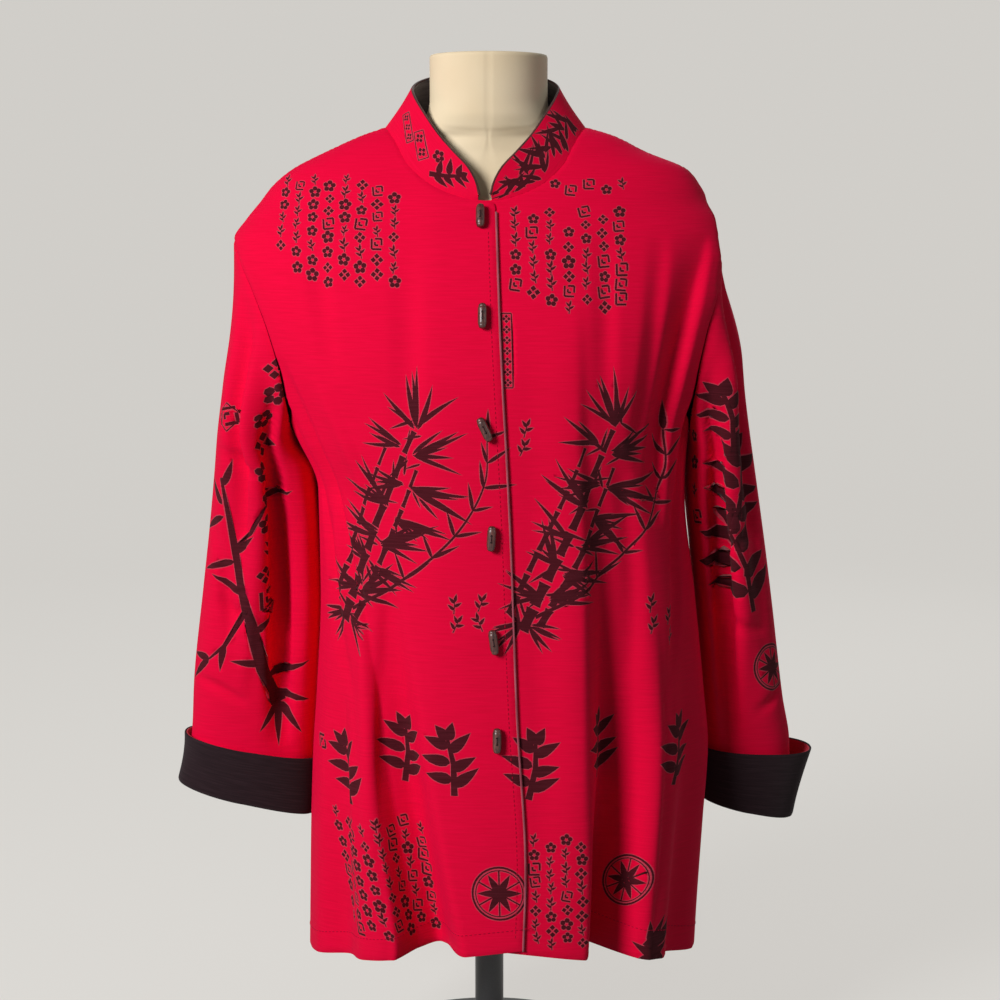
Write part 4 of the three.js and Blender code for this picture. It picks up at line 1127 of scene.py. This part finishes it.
# Each with how deep it lies behind the collar's face, its lowest rise, its thickness and how closely it is meshed.
for name, stands_for, depth, low, thickness, shapes, finishes, spacing in (
        ("collar_cloth", ("collar", "red_cloth"), 0, 0, COLLAR_THICK, collar_prints(), BODY_FINISHES, 2.6),
        ("collar_lining_cloth", ("collar_lining", "black_cloth"), COLLAR_THICK + 0.3, 0.04, LINING_THICK, [],
         (collar_lining_painted_light,), 4.0)):
    corners = np.array([(0, low), (1, low), (1, 1), (0, 1)]) * (SEAM_LENGTH, COLLAR_HEIGHT)
    outline = resample(corners, spacing)
    flat, triangles, paint = cut_cloth(outline, spacing, printed(shapes))
    points = collar_point(1 - flat[:, 0] / SEAM_LENGTH, flat[:, 1] / COLLAR_HEIGHT)
    points = points - vertex_normals(points, triangles) * depth
    piece = sew_piece(name, flat, triangles, paint, points, np.zeros(len(flat)), None, finishes, stands_for, thickness)

# ---------- the piping ----------
# Dark bias-cut binding over a thin cord, sewn into the collar's edge and along the upper front's edge.
piping_cotton = woven_cotton("brown_piping", "#4A1E1E", "#381414", "#6A3434", 0.6, 0.3)
# The front's piping is the same dark brown binding as the collar's, its colour painted lighter rose as a highlight
# along its lit edge.
front_piping_painted_highlight = woven_cotton("brown_piping_painted_rose_highlight", "#A04858", "#8A3444", "#B85C6C", 0.6, 0.3)


def closed_mesh(name, work, *finishes):
    """Ends the work on a solid shape: its faces look outward and it gets its materials."""
    bmesh.ops.recalc_face_normals(work, faces=work.faces)
    mesh = bpy.data.meshes.new(name)
    work.to_mesh(mesh)
    work.free()
    for finish in finishes:
        mesh.materials.append(finish)
    return mesh


def round_cord(name, path, radius, sides, material, *stands_for):
    """A closed round cord along a path of points, with domed ends."""
    path = np.asarray(path)
    along = unit(np.gradient(path, axis=0))
    across = unit(np.cross((0, 1.0, 0), along))
    up = np.cross(along, across)
    work = bmesh.new()
    turns = np.arange(sides) * math.tau / sides
    rings = [[work.verts.new((point + radius * (math.cos(a) * side + math.sin(a) * top)) * MM) for a in turns]
             for point, side, top in zip(path, across, up)]
    marks = lengths(path)
    share = math.tau * radius / sides
    threads = work.loops.layers.uv.new("threads")
    for low, high, start, end in zip(rings, rings[1:], marks, marks[1:]):
        for k in range(sides):
            n = (k + 1) % sides
            face = work.faces.new((low[k], low[n], high[n], high[k]))
            face.smooth = True
            for loop, uv in zip(face.loops, ((start, k), (start, k + 1), (end, k + 1), (end, k))):
                loop[threads].uv = (uv[0] * MM, uv[1] * share * MM)
    for ring, point, way in ((rings[0], path[0], -along[0]), (rings[-1], path[-1], along[-1])):
        tip = work.verts.new((point + radius * 0.6 * way) * MM)
        for k in range(sides):
            work.faces.new((ring[k], ring[(k + 1) % sides], tip)).smooth = True
    return piece_of(name, closed_mesh(name, work, material), *stands_for)


def collar_edge_path():
    share = np.linspace(0, 1, 300)
    edge, under = (collar_point(share, np.full(300, rise)) for rise in (1.0, 0.8))
    up = unit(edge - under)
    along = np.gradient(edge, axis=0)
    normal = unit(np.cross(along, up))
    outward = unit(np.cross(normal, along))
    outward *= np.sign((outward * up).sum(axis=1))[:, None]
    away = edge - (NECK_CENTRE_X, 0, 900)
    normal *= np.sign((normal * away)[:, :2].sum(axis=1))[:, None]
    return edge - normal * (COLLAR_THICK + LINING_THICK) / 2 + outward * 0.5


round_cord("collar_piping_cord", collar_edge_path(), 1.15, 12, piping_cotton, "piping_collar", "piping")


def front_edge_path():
    angle, z = front_outline("right")[:EDGE_POINTS].T
    points = upper_front_point(angle, z)
    out = unit(points - upper_front_point(angle - 1, z))
    normal = unit(np.cross(out, np.gradient(points, axis=0)))
    normal *= np.sign(-normal[:, 1])[:, None]
    return points + out * 0.7 - normal


# The front's cord, in the brown binding painted rose as a highlight.
round_cord("front_piping_cord", front_edge_path()[:-4], 1.0, 10, front_piping_painted_highlight, "piping_front", "piping")

# ---------- the sewing ----------
# Crimson cotton thread in small running stitches that hold the turned-up hem and the front edge.
STITCH_PITCH = 4.2
STITCH_LENGTH = 2.6
STITCH_THICK = 0.42


def stitches(name, path, outward):
    """A run of short flat-lying threads along a path, each a little rod bedded in the cloth."""
    along = lengths(path)
    work = bmesh.new()
    for start in np.arange(2, along[-1] - STITCH_LENGTH - 2, STITCH_PITCH):
        ends = between(path, along, [start, start + 0.5, start + STITCH_LENGTH - 0.5, start + STITCH_LENGTH])
        out = between(outward, along, [start])[0]
        side = unit(np.cross(ends[3] - ends[0], out)) * STITCH_THICK
        rings = [[work.verts.new((point + out * lift + side * s) * MM) for s, lift in
                  ((-1, -0.25), (-0.6, top), (0.6, top), (1, -0.25))]
                 for point, top in zip(ends, (-0.1, 0.42, 0.42, -0.1))]
        for low, high in zip(rings, rings[1:]):
            for k in range(4):
                work.faces.new((low[k], low[(k + 1) % 4], high[(k + 1) % 4], high[k]))
        work.faces.new(rings[0][::-1])
        work.faces.new(rings[-1])
    mesh = closed_mesh(name, work, crimson_thread)
    mesh.uv_layers.new(name="threads")
    piece_of(name, mesh)


crimson_thread = woven_cotton("crimson_sewing_thread", "#B80030", "#A8002A", "#C80038", 0.6, 0.2, "#FF5080")


def body_run(angle, z, lifted, cut=BODY_CUT):
    """Points on the body's cloth as it hangs, with its creases, and the way out of it at each."""
    worn = upper_front_point if lifted else body_point
    out = unit(np.cross(worn(angle + 0.2, z) - worn(angle - 0.2, z), worn(angle, z + 1) - worn(angle, z - 1)))
    return worn(angle, z) + out * creases(cut.lay(angle, z), cut, BODY_CREASES)[:, None], out


HEM_TURNUP = 22
EDGE_STITCH_IN = 7
for name, lifted, start, end, cut in (("right_front", True, (-89, SIDE_HEM_Z), (7, HEM_Z), BODY_CUT),
                                      ("left_front", False, (24, HEM_Z - 4), (89, SIDE_HEM_Z), BODY_CUT),
                                      ("back", False, (91, SIDE_HEM_Z), (269, SIDE_HEM_Z), BACK_CUT)):
    angle, z = np.linspace(start, end, 500).T
    stitches(f"{name}_hem_stitches", *body_run(angle, z + HEM_TURNUP, lifted, cut))
z = front_outline("right")[4:250, 1]
stitches("front_edge_stitches", *body_run(angle_at_x(through(FRONT_EDGE, "x", z) - EDGE_STITCH_IN, z), z, True))

# ---------- the toggles ----------
# Six turned barrels of stained wood, waxed, each sewn on through two drilled holes.
TOGGLES = table("x z turn", (-7, 841, 0), (-5, 754, 0), (-3, 655, 25), (3, 557, -3), (5, 463, 8), (8, 373, 0))
TOGGLE_RADIUS = 4.1
TOGGLE_PROFILE = ((0, -11.5), (1.9, -11.3), (2.9, -10.6), (3.4, -9.6), (3.55, -8.7), (3.45, -8.3), (3.95, -7.6),
                  (4.1, -6), (4.1, 6), (3.95, 7.6), (3.45, 8.3), (3.55, 8.7), (3.4, 9.6), (2.9, 10.6), (1.9, 11.3),
                  (0, 11.5))
HOLE_RADIUS = 1.0
HOLE_SPACING = 6.0


def stained_wood():
    """Stained and waxed hardwood: grain runs along the barrel, and the wax gives a soft gloss."""
    material, tree = new_material("stained_toggle_wood")
    place = node(tree, "ShaderNodeTexCoord").outputs["Object"]
    grain = noise(tree, stretched(tree, place, (900, 900, 90)), 1.0, 4.0)
    return shaded(material, tree, coloured(tree, grain, (0.35, "#260F11"), (0.68, "#6E3C34")), 0.38,
                  {"Coat Weight": 0.25, "Coat Roughness": 0.3, "Normal": raised(tree, grain, 0.25, 0.0002)})


toggle_wood = stained_wood()


def toggle_place(row):
    """Where a toggle lies on the upper front, turned in its plane."""
    angle, z = angle_at_x(row["x"], row["z"]), row["z"]
    side = upper_front_point(angle + 0.5, z) - upper_front_point(angle - 0.5, z)
    up = upper_front_point(angle, z + 1) - upper_front_point(angle, z - 1)
    normal = Vector(unit(np.cross(side, up)))
    across = Vector(side).normalized()
    axes = Matrix((across, -normal, across.cross(-normal).normalized())).transposed()
    place = (axes @ Matrix.Rotation(math.radians(-row["turn"]), 3, "Y")).to_4x4()
    place.translation = (Vector(upper_front_point(angle, z)) + normal * (TOGGLE_RADIUS + 0.3)) * MM
    return place


def lathe(profile, steps, unit_length=MM):
    """A shape turned from a profile of radii and heights."""
    work = bmesh.new()
    chain = [work.verts.new((r * unit_length, 0, z * unit_length)) for r, z in profile]
    edges = [work.edges.new(pair) for pair in zip(chain, chain[1:])]
    bmesh.ops.spin(work, geom=chain + edges, cent=(0, 0, 0), axis=(0, 0, 1), angle=math.tau, steps=steps,
                   use_merge=True)
    bmesh.ops.remove_doubles(work, verts=work.verts, dist=1e-6)
    for face in work.faces:
        face.smooth = True
    return work


def toggle(number, row):
    drill = bmesh.new()
    for at in (-HOLE_SPACING / 2, HOLE_SPACING / 2):
        place = Matrix.Translation((0, 0, at * MM)) @ Matrix.Rotation(math.pi / 2, 4, "X")
        bmesh.ops.create_cone(drill, cap_ends=True, segments=14, radius1=HOLE_RADIUS * MM, radius2=HOLE_RADIUS * MM,
                              depth=3 * TOGGLE_RADIUS * MM, matrix=place)
    blank = bpy.data.objects.new("blank", closed_mesh("blank", lathe(TOGGLE_PROFILE, 28), toggle_wood))
    bit = bpy.data.objects.new("drill", closed_mesh("drill", drill))
    for thing in (blank, bit):
        bpy.context.collection.objects.link(thing)
    holes = blank.modifiers.new("holes", "BOOLEAN")
    holes.operation, holes.object, holes.solver = "DIFFERENCE", bit, "EXACT"
    drilled = bpy.data.meshes.new_from_object(blank.evaluated_get(bpy.context.evaluated_depsgraph_get()))
    for thing in (blank, bit):
        bpy.data.objects.remove(thing)
    drilled.set_sharp_from_angle(angle=math.radians(50))
    drilled.transform(toggle_place(row))
    piece_of(f"toggle_{number}_barrel", drilled, f"toggle_{number}", "toggle_wood")


for number, row in enumerate(TOGGLES, 1):
    toggle(number, row)
dark_thread = woven_cotton("dark_waxed_thread", "#2A0E12", "#200A0E", "#3A161C", 0.5, 0.2)
THREAD_LOOP = ((0, -3.3, -3.5), (0.1, -4.2, -2.7), (0, -4.5, 0), (0.1, -4.2, 2.7), (0, -3.3, 3.5))
for number, row in enumerate(TOGGLES, 1):
    place = toggle_place(row)
    loop_path = [tuple((place @ (Vector(p) * MM)) / MM) for p in smooth_points(THREAD_LOOP, 14)]
    round_cord(f"toggle_{number}_thread", loop_path, 0.5, 6, dark_thread)

# ---------- the dress form ----------
# A limbless tailor's form: a padded torso under a tight cream linen cover, with a flat-topped neck.
FORM_RINGS = table(
    "z half front back square",
    (300, 134, 78, 86, 2.1), (350, 140, 84, 92, 2.1), (420, 142, 90, 96, 2.1), (490, 130, 88, 92, 2.1),
    (560, 119, 86, 84, 2.1), (610, 126, 94, 88, 2.1), (660, 140, 106, 96, 2.1), (720, 160, 112, 101, 2.1),
    (770, 178, 102, 97, 2.1), (815, 184, 86, 89, 2.1), (850, 190, 70, 82, 2), (872, 187, 58, 75, 1.95),
    (889, 173, 49, 69, 1.7), (903, 142, 45, 62, 1.42), (914, 107, 46, 55, 1.25), (926, 68, 50, 53, 1.8),
    (937, 58, 52, 53, 2), (950, 55, 52, 52, 2), (991, 55, 52, 52, 2),
)
FORM_SIDES = 120


def cream_linen():
    """Tight cream linen: a faint even weave, a little soiled, matt."""
    material, tree = new_material("cream_linen_cover")
    place = node(tree, "ShaderNodeTexCoord").outputs["Object"]
    colour = coloured(tree, noise(tree, place, 9.0, 3.0), (0.3, "#E2CCA8"), (0.7, "#F2E0C0"))
    relief = raised(tree, weave(tree, place, 320.0, ("X", 1.5), ("Z", 1.5)), 0.15, 0.0003)
    return shaded(material, tree, colour, 0.85, {"Specular IOR Level": 0.2, "Sheen Weight": 0.1, "Normal": relief})


FORM_TOP = 988.5        # where the neck's edge begins to round over
FORM_COVER_EDGE = ((0.985, 2.0), (0.96, 2.5), (0.9, 2.5), (0.5, 2.5), (0.05, 2.5))


def form_rings():
    """The torso's rings, with the cover's centre seams and the seam round the neck sunk in."""
    angle = np.arange(FORM_SIDES) * math.tau / FORM_SIDES
    rings = []
    for z in np.concatenate([np.linspace(300, 840, 60), np.linspace(846, FORM_TOP, 90)]):
        half, front, back, square = (through(FORM_RINGS, name, z) for name in ("half", "front", "back", "square"))
        x = half * signed_power(np.sin(angle), 2 / square)
        y = -np.where(np.cos(angle) > 0, front, back) * signed_power(np.cos(angle), 2 / square)
        neck_seam = 931 - 12 * np.clip(np.cos(angle), 0, 1)**2
        groove = 0.7 * np.exp(-(x / 0.9)**2) + 0.5 * np.exp(-((z - neck_seam) / 1.1)**2)
        plan = np.column_stack([x, y])
        plan -= unit(plan) * groove[:, None]
        rings.append(np.column_stack([plan[:, 0], plan[:, 1] + BODY_Y, np.full(FORM_SIDES, z)]))
    top = rings[-1]
    middle = top.mean(axis=0)
    for shrink, rise in FORM_COVER_EDGE:
        rings.append(middle + (top - middle) * shrink + (0, 0, rise))
    return rings


work = bmesh.new()
loops = [[work.verts.new(Vector(p) * MM) for p in ring] for ring in form_rings()]
for low, high in zip(loops, loops[1:]):
    for k in range(FORM_SIDES):
        n = (k + 1) % FORM_SIDES
        work.faces.new((low[k], low[n], high[n], high[k])).smooth = True
work.faces.new(loops[0][::-1])
work.faces.new(loops[-1])
piece_of("form_torso", closed_mesh("form_torso", work, cream_linen()), "form_body", "form_linen")

# ---------- the stand ----------
# A steel tube in a cast round base, both in dark satin enamel.
def satin_enamel():
    """Dark stoved enamel on steel: even, with a soft gloss and a faint orange peel."""
    material, tree = new_material("dark_satin_enamel")
    peel = noise(tree, node(tree, "ShaderNodeTexCoord").outputs["Object"], 700.0, 2.0)
    return shaded(material, tree, coloured(tree, peel, (0, "#343436"), (1, "#424244")), 0.4,
                  {"Normal": raised(tree, peel, 0.1, 0.0002)})


enamel = satin_enamel()
STAND = (
    ("stand_base", "form_base", 96, ((0, 0), (147, 0), (149, 1), (150, 3), (150, 8), (149, 10.5), (145, 14.5),
                                     (141, 16), (60, 16), (0, 16))),
    ("stand_hub", "form_hub", 64, ((0, 16.4), (30, 16.4), (30, 20), (29, 24), (25, 34), (22, 46), (21.2, 49),
                                   (20, 50), (0, 50))),
    ("stand_pole", "form_pole", 40, ((0, 50.4), (14, 50.4), (14, 299.6), (0, 299.6))),
)
for name, solid, steps, profile in STAND:
    mesh = closed_mesh(name, lathe(profile, steps), enamel)
    mesh.set_sharp_from_angle(angle=math.radians(40))
    piece_of(name, mesh, solid, "stand_metal")

# ---------- the floor and the light ----------
# A plain pale cove: a floor that turns up all round. A soft lamp at the upper left, and weak ones right and behind.
COVE_RADIUS, COVE_BEND, COVE_HEIGHT = 4.2, 1.2, 5.0
# Matt paint that gives off a little light of its own, so that it stays evenly pale.
material, tree = new_material("pale_matt_floor")
pale_floor = shaded(material, tree, linear("#7C7C7A"), 0.95,
                    {"Specular IOR Level": 0.05, "Emission Color": linear("#D6D3CE"), "Emission Strength": 0.86})
bend = [(COVE_RADIUS - COVE_BEND + COVE_BEND * math.sin(a), COVE_BEND - COVE_BEND * math.cos(a))
        for a in np.linspace(0.1, math.pi / 2, 14)]
profile = [(0, 0), (COVE_RADIUS - COVE_BEND, 0), *bend, (COVE_RADIUS, COVE_HEIGHT)]
cove = bpy.data.objects.new("cove", closed_mesh("cove", lathe(profile, 72, 1), pale_floor))
bpy.context.collection.objects.link(cove)
cove.visible_diffuse = False
cove.visible_shadow = False


def soft_light(name, place, height_aimed_at, size, watts):
    lamp = bpy.data.lights.new(name, "AREA")
    lamp.shape, lamp.size, lamp.energy = "DISK", size, watts
    holder = bpy.data.objects.new(name, lamp)
    holder.location = place
    holder.rotation_euler = (Vector((0, 0, height_aimed_at)) - Vector(place)).to_track_quat("-Z", "Y").to_euler()
    bpy.context.collection.objects.link(holder)


soft_light("key_light", (-1.8, -2.02, 1.75), 0.55, 1.1, 82)
soft_light("right_light", (2.6, -0.9, 1.5), 0.6, 0.9, 5)
soft_light("back_light", (0.8, 2.2, 2.0), 0.6, 1.4, 12)

world = bpy.data.worlds.new("pale_room")
world.use_nodes = True
background = world.node_tree.nodes["Background"].inputs
background["Color"].default_value = linear("#E8E8E6")
background["Strength"].default_value = 0.13
bpy.context.scene.world = world
bpy.context.scene.view_settings.view_transform = "Standard"
